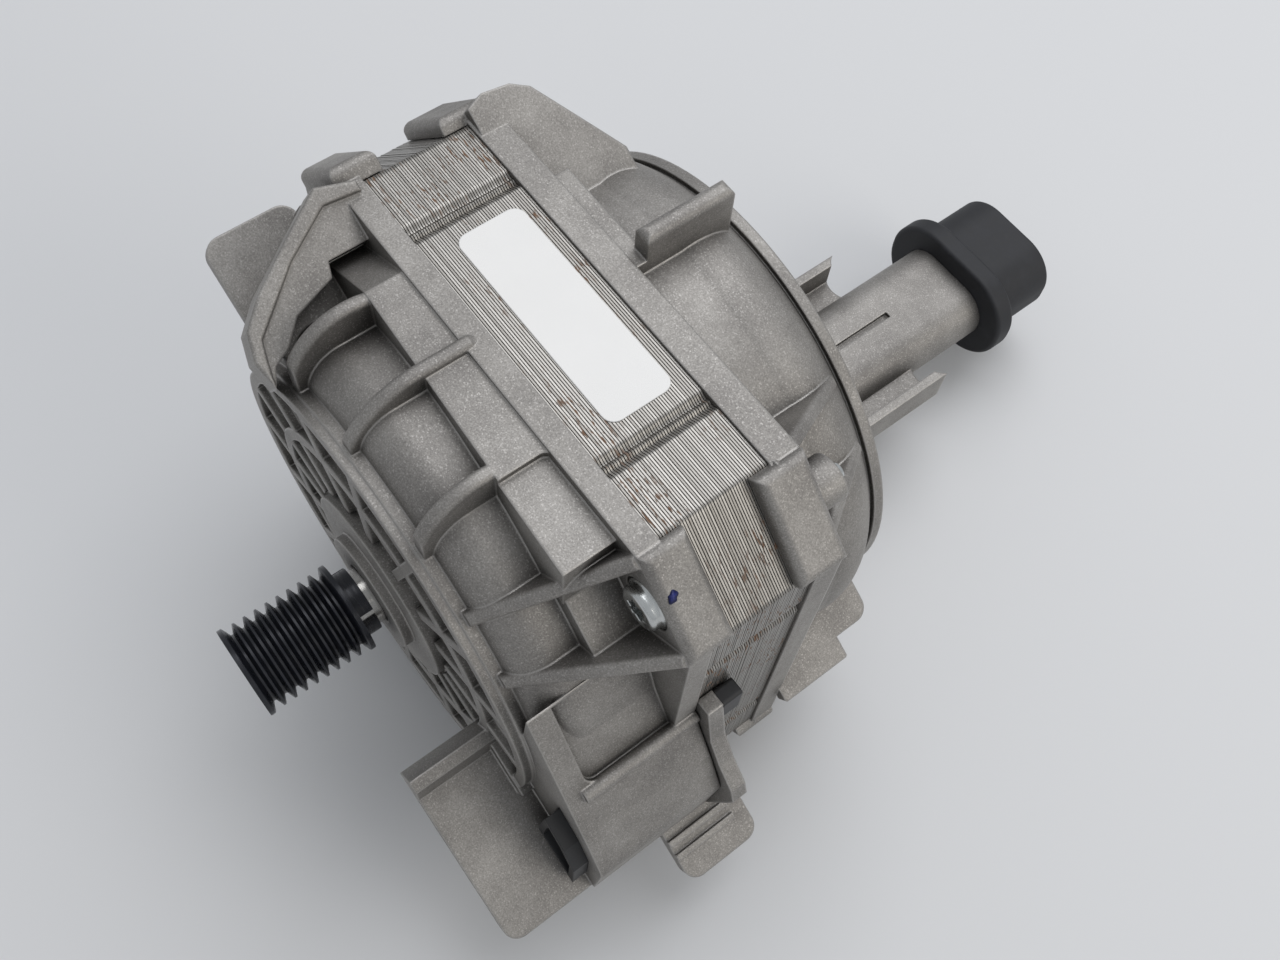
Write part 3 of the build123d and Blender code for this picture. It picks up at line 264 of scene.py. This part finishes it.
@dataclass(frozen=True)
class ElectricalSteelEdges:
    """Punched edges of electrical steel sheets, stacked and lightly rusted."""

    name: str = "lamination_edges"
    sheet: str = "#8a8782"
    pale_sheet: str = "#a9a6a1"
    gap: str = "#2b2927"
    rust: str = "#745945"
    metallic: float = 0.95
    roughness: float = 0.38
    rust_metallic: float = 0.2
    rust_roughness: float = 0.8
    pitch_mm: float = LAMINATION_PITCH_MM
    ridge_range: tuple[float, float] = (0.03, 0.22)
    step_mm: float = 0.06
    step_strength: float = 0.8
    spot_mm: float = 2.2
    spot_flatness: float = 4.0
    spot_range: tuple[float, float] = (0.56, 0.66)
    patch_mm: float = 14.0
    patch_range: tuple[float, float] = (0.47, 0.6)

    def build(self) -> bpy.types.Material:
        """Make the material: bright sheet edges, dark gaps at the sheets' pitch and rust in patches.

        Returns:
            The material.
        """
        material, shader = new_material(self.name)
        tree = material.node_tree
        place = add_node(tree, "ShaderNodeTexCoord", {}, {}).outputs["Object"]
        along = add_node(tree, "ShaderNodeSeparateXYZ", {}, {"Vector": place}).outputs["Y"]
        depth = add_node(tree, "ShaderNodeMath", {"operation": "SUBTRACT"}, {
            0: along, 1: STACK_FRONT_MM * MM})
        sheet = add_node(tree, "ShaderNodeMath", {"operation": "DIVIDE"}, {
            0: depth.outputs["Value"], 1: self.pitch_mm * MM})
        phase = add_node(tree, "ShaderNodeMath", {"operation": "FRACT"}, {0: sheet.outputs["Value"]})
        number = add_node(tree, "ShaderNodeMath", {"operation": "FLOOR"}, {0: sheet.outputs["Value"]})
        sheet_tone = add_node(tree, "ShaderNodeTexWhiteNoise", {"noise_dimensions": "1D"}, {
            "W": number.outputs["Value"]})
        centred = add_node(tree, "ShaderNodeMath", {"operation": "PINGPONG"}, {
            0: phase.outputs["Value"], 1: 0.5})
        ridge = add_node(tree, "ShaderNodeMapRange", {"interpolation_type": "SMOOTHSTEP"}, {
            "Value": centred.outputs["Value"], "From Min": self.ridge_range[0],
            "From Max": self.ridge_range[1]})
        stretch = add_node(tree, "ShaderNodeMapping", {}, {
            "Vector": place, "Scale": (1.0, self.spot_flatness, 1.0)})
        spots = add_node(tree, "ShaderNodeTexNoise", {}, {
            "Vector": stretch.outputs["Vector"], "Scale": per_metre(self.spot_mm), "Detail": 2.0})
        patches = add_node(tree, "ShaderNodeTexNoise", {}, {
            "Vector": place, "Scale": per_metre(self.patch_mm), "Detail": 2.0})
        spot_mask = add_node(tree, "ShaderNodeMapRange", {}, {
            "Value": spots.outputs["Fac"], "From Min": self.spot_range[0], "From Max": self.spot_range[1]})
        patch_mask = add_node(tree, "ShaderNodeMapRange", {}, {
            "Value": patches.outputs["Fac"], "From Min": self.patch_range[0],
            "From Max": self.patch_range[1]})
        rusty = add_node(tree, "ShaderNodeMath", {"operation": "MULTIPLY"}, {
            0: spot_mask.outputs["Result"], 1: patch_mask.outputs["Result"]})
        bright = add_node(tree, "ShaderNodeMix", {"data_type": "RGBA"}, {
            0: sheet_tone.outputs["Value"], 6: linear(self.sheet), 7: linear(self.pale_sheet)})
        lined = add_node(tree, "ShaderNodeMix", {"data_type": "RGBA"}, {
            0: ridge.outputs["Result"], 6: linear(self.gap), 7: bright.outputs[2]})
        rusted = add_node(tree, "ShaderNodeMix", {"data_type": "RGBA"}, {
            0: rusty.outputs["Value"], 6: lined.outputs[2], 7: linear(self.rust)})
        matt = add_node(tree, "ShaderNodeMapRange", {}, {
            "Value": rusty.outputs["Value"], "To Min": self.roughness, "To Max": self.rust_roughness})
        metal = add_node(tree, "ShaderNodeMapRange", {}, {
            "Value": rusty.outputs["Value"], "To Min": self.metallic, "To Max": self.rust_metallic})
        bump = add_node(tree, "ShaderNodeBump", {}, {
            "Strength": self.step_strength, "Distance": self.step_mm * MM,
            "Height": ridge.outputs["Result"]})
        tree.links.new(rusted.outputs[2], shader.inputs["Base Color"])
        tree.links.new(matt.outputs["Result"], shader.inputs["Roughness"])
        tree.links.new(metal.outputs["Result"], shader.inputs["Metallic"])
        tree.links.new(bump.outputs["Normal"], shader.inputs["Normal"])
        return material


@dataclass(frozen=True)
class TurnedMetal:
    """Metal turned or ground about the shaft, with fine rings in its roughness."""

    name: str
    colour: str
    worn: str
    roughness: float
    ring_mm: float = 0.35
    metallic: float = 1.0
    ring_length: float = 0.1
    mark_share: float = 4.0
    ring_range: tuple[float, float] = (0.3, 0.7)
    gloss_range: tuple[float, float] = (0.75, 1.3)
    ring_height_mm: float = 0.02
    ring_strength: float = 0.25

    def build(self) -> bpy.types.Material:
        """Make the material: fine rings about the shaft's line and faint handling marks.

        Returns:
            The material.
        """
        material, shader = new_material(self.name)
        tree = material.node_tree
        place = add_node(tree, "ShaderNodeTexCoord", {}, {}).outputs["Object"]
        # Real turning marks are about 0.1 mm apart. They are drawn coarser so that they show.
        stretch = add_node(tree, "ShaderNodeMapping", {}, {
            "Vector": place, "Scale": (self.ring_length, 1.0, self.ring_length)})
        rings = add_node(tree, "ShaderNodeTexNoise", {}, {
            "Vector": stretch.outputs["Vector"], "Scale": per_metre(self.ring_mm), "Detail": 2.0})
        marks = add_node(tree, "ShaderNodeTexNoise", {}, {
            "Vector": place, "Scale": per_metre(self.mark_share * self.ring_mm), "Detail": 5.0,
            "Roughness": 0.7})
        colour = add_node(tree, "ShaderNodeMix", {"data_type": "RGBA"}, {
            0: marks.outputs["Fac"], 6: linear(self.colour), 7: linear(self.worn)})
        gloss = add_node(tree, "ShaderNodeMapRange", {}, {
            "Value": rings.outputs["Fac"], "From Min": self.ring_range[0], "From Max": self.ring_range[1],
            "To Min": self.gloss_range[0] * self.roughness, "To Max": self.gloss_range[1] * self.roughness})
        bump = add_node(tree, "ShaderNodeBump", {}, {
            "Strength": self.ring_strength, "Distance": self.ring_height_mm * MM,
            "Height": rings.outputs["Fac"]})
        tree.links.new(colour.outputs[2], shader.inputs["Base Color"])
        tree.links.new(gloss.outputs["Result"], shader.inputs["Roughness"])
        tree.links.new(bump.outputs["Normal"], shader.inputs["Normal"])
        shader.inputs["Metallic"].default_value = self.metallic
        return material


@dataclass(frozen=True)
class MouldedPolymer:
    """Moulded plastic or rubber: one colour with a fine skin, dust and soft tone changes."""

    name: str
    colour: str
    dusty: str
    roughness: float
    skin_mm: float = 0.5
    skin_height_mm: float = 0.04
    ior: float = 1.5
    skin_strength: float = 0.4
    dust_share: float = 9.0
    dust_range: tuple[float, float] = (0.45, 0.8)
    dust_strength: float = 0.5
    gloss_range: tuple[float, float] = (0.8, 1.2)
    edge_mm: float = 0.35

    def build(self) -> bpy.types.Material:
        """Make the material: a finely eroded skin and a little dust.

        Returns:
            The material.
        """
        material, shader = new_material(self.name)
        tree = material.node_tree
        place = add_node(tree, "ShaderNodeTexCoord", {}, {}).outputs["Object"]
        skin = add_node(tree, "ShaderNodeTexNoise", {}, {
            "Vector": place, "Scale": per_metre(self.skin_mm), "Detail": 3.0})
        dust = add_node(tree, "ShaderNodeTexNoise", {}, {
            "Vector": place, "Scale": per_metre(self.dust_share * self.skin_mm), "Detail": 6.0,
            "Roughness": 0.7})
        dust_mask = add_node(tree, "ShaderNodeMapRange", {}, {
            "Value": dust.outputs["Fac"], "From Min": self.dust_range[0], "From Max": self.dust_range[1],
            "To Max": self.dust_strength})
        colour = add_node(tree, "ShaderNodeMix", {"data_type": "RGBA"}, {
            0: dust_mask.outputs["Result"], 6: linear(self.colour), 7: linear(self.dusty)})
        gloss = add_node(tree, "ShaderNodeMapRange", {}, {
            "Value": dust.outputs["Fac"], "To Min": self.gloss_range[0] * self.roughness,
            "To Max": self.gloss_range[1] * self.roughness})
        bevel = add_node(tree, "ShaderNodeBevel", {"samples": 4}, {"Radius": self.edge_mm * MM})
        bump = add_node(tree, "ShaderNodeBump", {}, {
            "Strength": self.skin_strength, "Distance": self.skin_height_mm * MM,
            "Height": skin.outputs["Fac"], "Normal": bevel.outputs["Normal"]})
        tree.links.new(colour.outputs[2], shader.inputs["Base Color"])
        tree.links.new(gloss.outputs["Result"], shader.inputs["Roughness"])
        tree.links.new(bump.outputs["Normal"], shader.inputs["Normal"])
        shader.inputs["IOR"].default_value = self.ior
        return material


class Finish(Enum):
    """The finishes of the motor's pieces."""

    # Pressure die-cast: matt warm grey that sparkles, with painted shade in its corners and a painted
    # highlight along its edges.
    CAST = DieCastAluminium()
    # Punched and stacked: fine bright and dark lines with flat spots of rust.
    LAMINATIONS = ElectricalSteelEdges()
    # Zinc plated: bright and slightly blue. Ground: bright with fine rings. Polished: near to a mirror.
    ZINC = TurnedMetal("zinc_plated_steel", "#d4d6d5", "#b4b7b6", 0.24)
    GROUND = TurnedMetal("ground_steel", "#c2c1bf", "#98958f", 0.22)
    BEARING = TurnedMetal("bearing_steel", "#c0c0c2", "#a8a8aa", 0.16)
    # Stacked and turned: dull dark grey. Tinned: soft pale metal. Enamelled: warm copper under varnish.
    ROTOR_IRON = TurnedMetal("rotor_laminations", "#6e6d6b", "#4d4b49", 0.45)
    TINNED = TurnedMetal("tinned_brass", "#c9c6b6", "#a9a48f", 0.3)
    COPPER = TurnedMetal("enamelled_copper_wire", "#b56a3c", "#8a4a26", 0.35)
    # Blackened steel: deep blue-black with a soft shine along the grooves.
    BLACK_OXIDE = TurnedMetal("black_oxide_steel", "#16171c", "#24262d", 0.3, 0.5, 0.35)
    # Sintered: flat dark grey. Moulded nylon: black with a fine skin. Moulded rubber: blacker and matt.
    FERRITE = MouldedPolymer("sintered_ferrite", "#2b2b2d", "#3a3a3b", 0.6)
    BLACK_NYLON = MouldedPolymer("glass_filled_nylon", "#151517", "#2c2d30", 0.5)
    RUBBER = MouldedPolymer("moulded_rubber", "#17181c", "#35363b", 0.62, 0.7, 0.06)
    # Moulded without a dye: ivory. Film: smooth and off-white. Marker ink: deep blue.
    WHITE_NYLON = MouldedPolymer("natural_nylon", "#dcd8cc", "#c9c4b6", 0.5)
    LABEL = MouldedPolymer("polyester_label_film", "#dddcda", "#d5d4d2", 0.35, 6.0, 0.01)
    INK = MouldedPolymer("marker_ink", "#1b2468", "#27358a", 0.4, 0.4, 0.01)

    def material(self) -> bpy.types.Material:
        """The finish's material, made the first time that it is asked for."""
        made = bpy.data.materials.get(self.value.name)
        return made or self.value.build()


def dress(node: str, finish: Finish) -> None:
    """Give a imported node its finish.

    Args:
        node: the node's name.
        finish: the finish that it takes.
    """
    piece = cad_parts[node]
    material = finish.material()
    if not piece.material_slots:
        piece.data.materials.append(material)
    for place in piece.material_slots:
        place.material = material
    LOG.info("dressed %s in %s", node, finish.value.name)


def new_piece(name: str, mesh: bmesh.types.BMesh, finish: Finish, body: Body) -> bpy.types.Object:
    """Turn mesh data into a piece of the motor that rides on a body.

    Args:
        name: the piece's name.
        mesh: its vertices and faces, in metres.
        finish: its finish.
        body: the body that it moves with.

    Returns:
        The new object.
    """
    bmesh.ops.recalc_face_normals(mesh, faces=mesh.faces)
    data = bpy.data.meshes.new(name)
    mesh.to_mesh(data)
    mesh.free()
    piece = bpy.data.objects.new(name, data)
    bpy.context.scene.collection.objects.link(piece)
    data.materials.append(finish.material())
    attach(piece, body.value)
    LOG.info("built %s with %d faces", name, len(data.polygons))
    return piece


def smooth_below(piece: bpy.types.Object, angle: float) -> None:
    """Shade a piece smooth, with its sharper edges kept.

    Args:
        piece: the piece.
        angle: the angle in degrees above which an edge stays sharp.
    """
    for polygon in piece.data.polygons:
        polygon.use_smooth = True
    edges = piece.modifiers.new("edge_split", "EDGE_SPLIT")
    edges.split_angle = math.radians(angle)


@dataclass
class Casting:
    """The die-cast pieces: both shields and the connector cover."""

    nodes: tuple[str, ...] = ("front_shield", "rear_shield", "connector_cover")

    def build(self) -> None:
        """Dress the castings."""
        for node in self.nodes:
            dress(node, Finish.CAST)


@dataclass
class Stator:
    """The laminated stack with its label, insulation and windings."""

    sheet_count: int = 44
    half_mm: float = 57.25
    leg_mm: float = 15.4
    notch_place_mm: float = 27.5
    notch_depth_mm: float = 1.3
    notch_width_mm: float = 4.4
    weld_shares: tuple[tuple[float, float], ...] = (
        (-0.58, 0.0), (-0.5, 0.0), (-0.36, 0.3), (-0.24, 0.62), (-0.16, 0.7), (-0.08, 0.45), (0.0, 0.32),
        (0.08, 0.45), (0.16, 0.7), (0.24, 0.62), (0.36, 0.3), (0.5, 0.0), (0.58, 0.0))
    corner_blend_mm: float = 0.9
    gap_share: float = 0.14
    proud_mm: float = 0.05
    spread_mm: float = 0.04
    rooted_mm: float = 1.5
    seed: int = 7
    sharp_angle: float = 50.0
    finishes: dict[str, Finish] = field(default_factory=lambda: {
        "stator_stack": Finish.LAMINATIONS,
        "label": Finish.LABEL,
        "front_end_frame": Finish.WHITE_NYLON,
        "rear_end_frame": Finish.WHITE_NYLON,
        "stator_coils": Finish.COPPER,
    })

    def outline(self) -> list[tuple[float, float]]:
        """Outline of one sheet: an octagon with two notches in each side and a weld along each notch.

        Returns:
            Place across the motor and height of each point, in millimetres.
        """
        end = self.half_mm - self.leg_mm
        blend = self.corner_blend_mm
        slant = blend * math.sqrt(0.5)
        side = [(self.half_mm, -end), (self.half_mm, blend - end)]
        for place in (-self.notch_place_mm, self.notch_place_mm):
            for across, depth in self.weld_shares:
                out = self.half_mm - depth * self.notch_depth_mm
                side.append((out, place + across * self.notch_width_mm))
        side += [(self.half_mm, end - blend), (self.half_mm, end),
                 (self.half_mm - slant, end + slant), (end + slant, self.half_mm - slant)]
        points = []
        for quarter in range(4):
            sine, cosine = math.sin(math.pi * quarter / 2), math.cos(math.pi * quarter / 2)
            points += [(out * cosine - up * sine, out * sine + up * cosine) for out, up in side]
        return points

    def build_sheet_edges(self) -> bpy.types.Object:
        """Build the punched edge of every sheet, each a little further in or out than the next.

        Returns:
            The edges as one piece.
        """
        mesh = bmesh.new()
        scatter = random.Random(self.seed)
        outline = self.outline()
        inner = 1 - self.rooted_mm / self.half_mm
        for sheet in range(self.sheet_count):
            outer = 1 + (self.proud_mm + scatter.uniform(-self.spread_mm, self.spread_mm)) / self.half_mm
            start = STACK_FRONT_MM + LAMINATION_PITCH_MM * (sheet + self.gap_share)
            end = STACK_FRONT_MM + LAMINATION_PITCH_MM * (sheet + 1 - self.gap_share)
            loops = []
            for share, place in ((inner, start), (outer, start), (outer, end), (inner, end)):
                loops.append([
                    mesh.verts.new((x * share * MM, place * MM, z * share * MM)) for x, z in outline])
            for first, second in zip(loops, loops[1:] + loops[:1]):
                for corner in range(len(outline)):
                    before = corner - 1
                    mesh.faces.new((first[before], first[corner], second[corner], second[before]))
        edges = new_piece("sheet_edges", mesh, Finish.LAMINATIONS, Body.STATOR)
        smooth_below(edges, self.sharp_angle)
        return edges

    def build(self) -> None:
        """Dress the stator's pieces and build the sheets' edges."""
        for node, finish in self.finishes.items():
            dress(node, finish)
        self.build_sheet_edges()


@dataclass
class Rotor:
    """The turning pieces with both bearings."""

    finishes: dict[str, Finish] = field(default_factory=lambda: {
        "shaft": Finish.GROUND,
        "pulley": Finish.BLACK_OXIDE,
        "rotor_core": Finish.ROTOR_IRON,
        "rotor_magnets": Finish.FERRITE,
        "front_rotor_plate": Finish.ZINC,
        "rear_rotor_plate": Finish.ZINC,
        "preload_washer": Finish.BEARING,
    })
    bearings: tuple[str, ...] = ("front_bearing", "rear_bearing")
    steel_pieces: tuple[str, ...] = ("outer_race", "inner_race", "balls")

    def build(self) -> None:
        """Dress the rotor's pieces and both bearings."""
        for node, finish in self.finishes.items():
            dress(node, finish)
        for bearing in self.bearings:
            for piece in self.steel_pieces:
                dress(f"{bearing}_{piece}", Finish.BEARING)
            dress(f"{bearing}_cage", Finish.WHITE_NYLON)
            dress(f"{bearing}_seals", Finish.RUBBER)


@dataclass
class Connector:
    """The plastic connector with its contacts and the lead guide."""

    def build(self) -> None:
        """Dress the connector's pieces."""
        dress("connector_insert", Finish.BLACK_NYLON)
        dress("lead_block", Finish.BLACK_NYLON)
        dress("connector_terminals", Finish.TINNED)


@dataclass
class ThroughScrews:
    """Four long screws with a flanged pan head, a six-lobed socket and a rolled thread."""

    offset_mm: float = 46.5
    seat_mm: float = 46.15
    length_mm: float = 39.6
    shank_radius_mm: float = 2.1
    root_radius_mm: float = 1.8
    thread_pitch_mm: float = 0.8
    thread_length_mm: float = 15.0
    head_radius_mm: float = 4.3
    head_height_mm: float = 2.9
    flange_radius_mm: float = 4.9
    flange_height_mm: float = 0.9
    crown_mm: float = 1.1
    socket_radius_mm: float = 2.0
    socket_depth_mm: float = 1.7
    socket_tip_share: float = 1.2
    socket_tip_radius_share: float = 0.25
    socket_rim_share: float = 1.1
    socket_rim_drop_share: float = 0.12
    lobe_share: float = 0.16
    lobes: int = 6
    crown_steps: int = 4
    step_share: float = 0.1
    flange_edge_share: float = 0.5
    point_share: float = 0.7
    sides: int = 72
    sharp_angle: float = 34.0

    def rings(self) -> list[tuple[float, float, float]]:
        """Profile of one screw from its socket's floor to its tip.

        Returns:
            Radius, place along the shaft and lobe share of each ring, in millimetres.
        """
        top = self.seat_mm - self.head_height_mm
        wall = self.head_radius_mm - self.crown_mm
        rings = [
            (self.socket_tip_radius_share * self.socket_radius_mm,
             top + self.socket_tip_share * self.socket_depth_mm, 0.0),
            (self.socket_radius_mm, top + self.socket_depth_mm, self.lobe_share),
            (self.socket_radius_mm, top + self.socket_rim_drop_share * self.crown_mm, self.lobe_share),
            (self.socket_rim_share * self.socket_radius_mm, top, self.lobe_share),
        ]
        for step in range(self.crown_steps + 1):
            turned = math.radians(90 * step / self.crown_steps)
            radius = wall + self.crown_mm * math.sin(turned)
            rings.append((radius, top + self.crown_mm * (1 - math.cos(turned)), 0.0))
        flange_top = self.seat_mm - self.flange_height_mm
        small = self.step_share * self.crown_mm
        rings += [
            (self.head_radius_mm, flange_top - 1.5 * small, 0.0),
            (self.head_radius_mm + small, flange_top, 0.0),
            (self.flange_radius_mm - small, flange_top + 2 * self.step_share * self.flange_height_mm, 0.0),
            (self.flange_radius_mm, flange_top + self.flange_edge_share * self.flange_height_mm, 0.0),
            (self.flange_radius_mm, self.seat_mm, 0.0),
            (self.shank_radius_mm, self.seat_mm, 0.0),
        ]
        tip = self.seat_mm + self.length_mm
        thread_start = tip - self.thread_length_mm
        turns = int(self.thread_length_mm / self.thread_pitch_mm) - 1
        rings.append((self.shank_radius_mm, thread_start, 0.0))
        for turn in range(turns):
            place = thread_start + self.thread_pitch_mm * (turn + 0.5)
            rings.append((self.root_radius_mm, place, 0.0))
            rings.append((self.shank_radius_mm, place + self.thread_pitch_mm / 2, 0.0))
        rings.append((self.point_share * self.shank_radius_mm, tip, 0.0))
        return rings

    def build(self) -> bpy.types.Object:
        """Build the four screws as one group.

        Returns:
            The group.
        """
        mesh = bmesh.new()
        for x_mm in (-self.offset_mm, self.offset_mm):
            for z_mm in (-self.offset_mm, self.offset_mm):
                self.add_screw(mesh, x_mm, z_mm)
        group = new_piece("screw_group", mesh, Finish.ZINC, Body.STATOR)
        smooth_below(group, self.sharp_angle)
        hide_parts("through_screws")
        return group

    def add_screw(self, mesh: bmesh.types.BMesh, x_mm: float, z_mm: float) -> None:
        """Add one screw to the group's mesh.

        Args:
            mesh: the group's mesh.
            x_mm: place of the screw's axis across the motor.
            z_mm: height of the screw's axis.
        """
        loops = []
        for radius, y_mm, lobe in self.rings():
            loop = []
            for side in range(self.sides):
                turned = 2 * math.pi * side / self.sides
                reach = radius * (1 + lobe * math.cos(self.lobes * turned))
                x = x_mm + reach * math.cos(turned)
                z = z_mm + reach * math.sin(turned)
                loop.append(mesh.verts.new((x * MM, y_mm * MM, z * MM)))
            loops.append(loop)
        for first, second in zip(loops, loops[1:]):
            for side in range(self.sides):
                following = (side + 1) % self.sides
                mesh.faces.new((first[side], first[following], second[following], second[side]))
        mesh.faces.new(loops[0])
        mesh.faces.new(loops[-1])


@dataclass
class Sleeve:
    """The rubber sleeve on the support arm."""

    def build(self) -> None:
        """Dress the sleeve."""
        dress("arm_sleeve", Finish.RUBBER)


@dataclass(frozen=True)
class Lamp:
    """A soft square lamp: place and width in metres, power in watts."""

    name: str
    place: tuple[float, float, float]
    size: float
    power: float
    tint: str

    def build(self, target: Vector) -> None:
        """Hang the lamp so that it looks at the motor.

        Args:
            target: the point that it looks at.
        """
        data = bpy.data.lights.new(self.name, "AREA")
        data.size = self.size
        data.energy = self.power
        data.color = linear(self.tint)[:3]
        lamp = bpy.data.objects.new(self.name, data)
        lamp.location = self.place
        lamp.rotation_euler = (target - lamp.location).to_track_quat("-Z", "Y").to_euler()
        bpy.context.scene.collection.objects.link(lamp)


@dataclass
class Studio:
    """Pale floor, soft light and the photograph's camera."""

    photo_width_px: float = 1280.0
    focal_px: float = 1298.58
    sensor_mm: float = 36.0
    camera_mm: tuple[float, float, float] = (99.15, -7.91, 237.95)
    right: tuple[float, float, float] = (0.6057, 0.7942, 0.0488)
    down: tuple[float, float, float] = (0.7243, -0.5249, -0.4471)
    ahead: tuple[float, float, float] = (-0.3295, 0.3062, -0.8932)
    clip_start_m: float = 0.01
    floor_colour: str = "#d1d1d2"
    floor_cloud: str = "#cccdce"
    floor_roughness: float = 0.7
    cloud_m: float = 0.5
    floor_half_m: float = 30.0
    lamps: tuple[Lamp, ...] = (
        Lamp("ceiling_panel", (-0.25, 0.55, 1.1), 1.1, 9.0, "#fbfcff"),
        Lamp("window_side", (0.9, 0.5, 0.55), 0.7, 3.2, "#fffaf2"))
    lamp_target: tuple[float, float, float] = (0.0, 0.06, 0.0)
    world_colour: str = "#dfe2e6"
    world_strength: float = 0.7

    def add_camera(self) -> None:
        """Place the camera where the photograph was taken."""
        data = bpy.data.cameras.new("photo_camera")
        data.sensor_width = self.sensor_mm
        data.lens = self.sensor_mm * self.focal_px / self.photo_width_px
        data.clip_start = self.clip_start_m
        camera = bpy.data.objects.new("photo_camera", data)
        bpy.context.scene.collection.objects.link(camera)
        axes = Matrix((self.right, self.down, self.ahead)).transposed()
        turn = axes @ Matrix(((1, 0, 0), (0, -1, 0), (0, 0, -1)))
        camera.matrix_world = Matrix.Translation(Vector(self.camera_mm) * MM) @ turn.to_4x4()
        bpy.context.scene.camera = camera

    def add_floor(self, height: float) -> None:
        """Lay the pale floor.

        Args:
            height: the floor's height in metres.
        """
        mesh = bmesh.new()
        bmesh.ops.create_grid(mesh, x_segments=1, y_segments=1, size=self.floor_half_m)
        data = bpy.data.meshes.new("floor")
        mesh.to_mesh(data)
        mesh.free()
        floor = bpy.data.objects.new("floor", data)
        floor.location.z = height
        bpy.context.scene.collection.objects.link(floor)
        material, shader = new_material("painted_table")
        tree = material.node_tree
        place = add_node(tree, "ShaderNodeTexCoord", {}, {}).outputs["Object"]
        cloud = add_node(tree, "ShaderNodeTexNoise", {}, {
            "Vector": place, "Scale": 1 / self.cloud_m, "Detail": 1.0})
        colour = add_node(tree, "ShaderNodeMix", {"data_type": "RGBA"}, {
            0: cloud.outputs["Fac"], 6: linear(self.floor_cloud), 7: linear(self.floor_colour)})
        tree.links.new(colour.outputs[2], shader.inputs["Base Color"])
        shader.inputs["Roughness"].default_value = self.floor_roughness
        data.materials.append(material)
        floor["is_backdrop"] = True

    def build(self, floor_height: float) -> None:
        """Set up the camera, the floor and the lights.

        Args:
            floor_height: the floor's height in metres.
        """
        self.add_camera()
        self.add_floor(floor_height)
        for lamp in self.lamps:
            lamp.build(Vector(self.lamp_target))
        world = bpy.data.worlds.new("room")
        world.use_nodes = True
        backdrop = next(node for node in world.node_tree.nodes if node.type == "BACKGROUND")
        backdrop.inputs["Color"].default_value = linear(self.world_colour)
        backdrop.inputs["Strength"].default_value = self.world_strength
        bpy.context.scene.world = world
        bpy.context.scene.view_settings.view_transform = "Standard"
        LOG.info("set up the studio")


@dataclass
class InspectionMark:
    """Small dab of marker ink on the front shield's corner."""

    column_px: float = 673.0
    row_px: float = 597.0
    photo_centre_px: tuple[float, float] = (640.0, 480.0)
    radius_mm: float = 1.0
    height_mm: float = 0.06
    rim_share: float = 0.2
    oval_share: float = 0.18
    ragged_share: float = 0.1
    sides: int = 28

    def build(self, studio: Studio) -> None:
        """Put the mark where the camera's ray meets the casting.

        Args:
            studio: the studio that holds the camera's place.
        """
        across = (self.column_px - self.photo_centre_px[0]) / studio.focal_px
        below = (self.row_px - self.photo_centre_px[1]) / studio.focal_px
        ray = Vector(studio.ahead) + across * Vector(studio.right) + below * Vector(studio.down)
        eye = Vector(studio.camera_mm) * MM
        graph = bpy.context.evaluated_depsgraph_get()
        hit, place, normal, _, found, _ = bpy.context.scene.ray_cast(graph, eye, ray.normalized())
        if not hit:
            LOG.warning("the ink mark's ray meets nothing")
            return
        LOG.info("ink mark on %s at %s", found.name, [round(value / MM, 1) for value in place])
        turn = normal.to_track_quat("Z", "Y").to_matrix()
        mesh = bmesh.new()
        rim = []
        for side in range(self.sides):
            turned = 2 * math.pi * side / self.sides
            wobble = self.oval_share * math.sin(2 * turned) + self.ragged_share * math.cos(5 * turned)
            reach = self.radius_mm * (1 + wobble)
            lift = self.rim_share * self.height_mm
            offset = Vector((reach * math.cos(turned), reach * math.sin(turned), lift)) * MM
            rim.append(mesh.verts.new(place + turn @ offset))
        top = mesh.verts.new(place + turn @ Vector((0, 0, self.height_mm * MM)))
        for first, second in zip(rim, rim[1:] + rim[:1]):
            mesh.faces.new((first, second, top))
        mesh.faces.new(rim)
        new_piece("ink_mark", mesh, Finish.INK, Body.STATOR)


def main() -> None:
    """Build the motor's looks and the studio around it."""
    logging.basicConfig(level=logging.INFO, format="%(message)s")
    cad_low, cad_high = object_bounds()
    for assembly in (Casting(), Stator(), Rotor(), Connector(), ThroughScrews(), Sleeve()):
        assembly.build()
    studio = Studio()
    studio.build(cad_low[2])
    InspectionMark().build(studio)


if __name__ == "__main__":
    main()
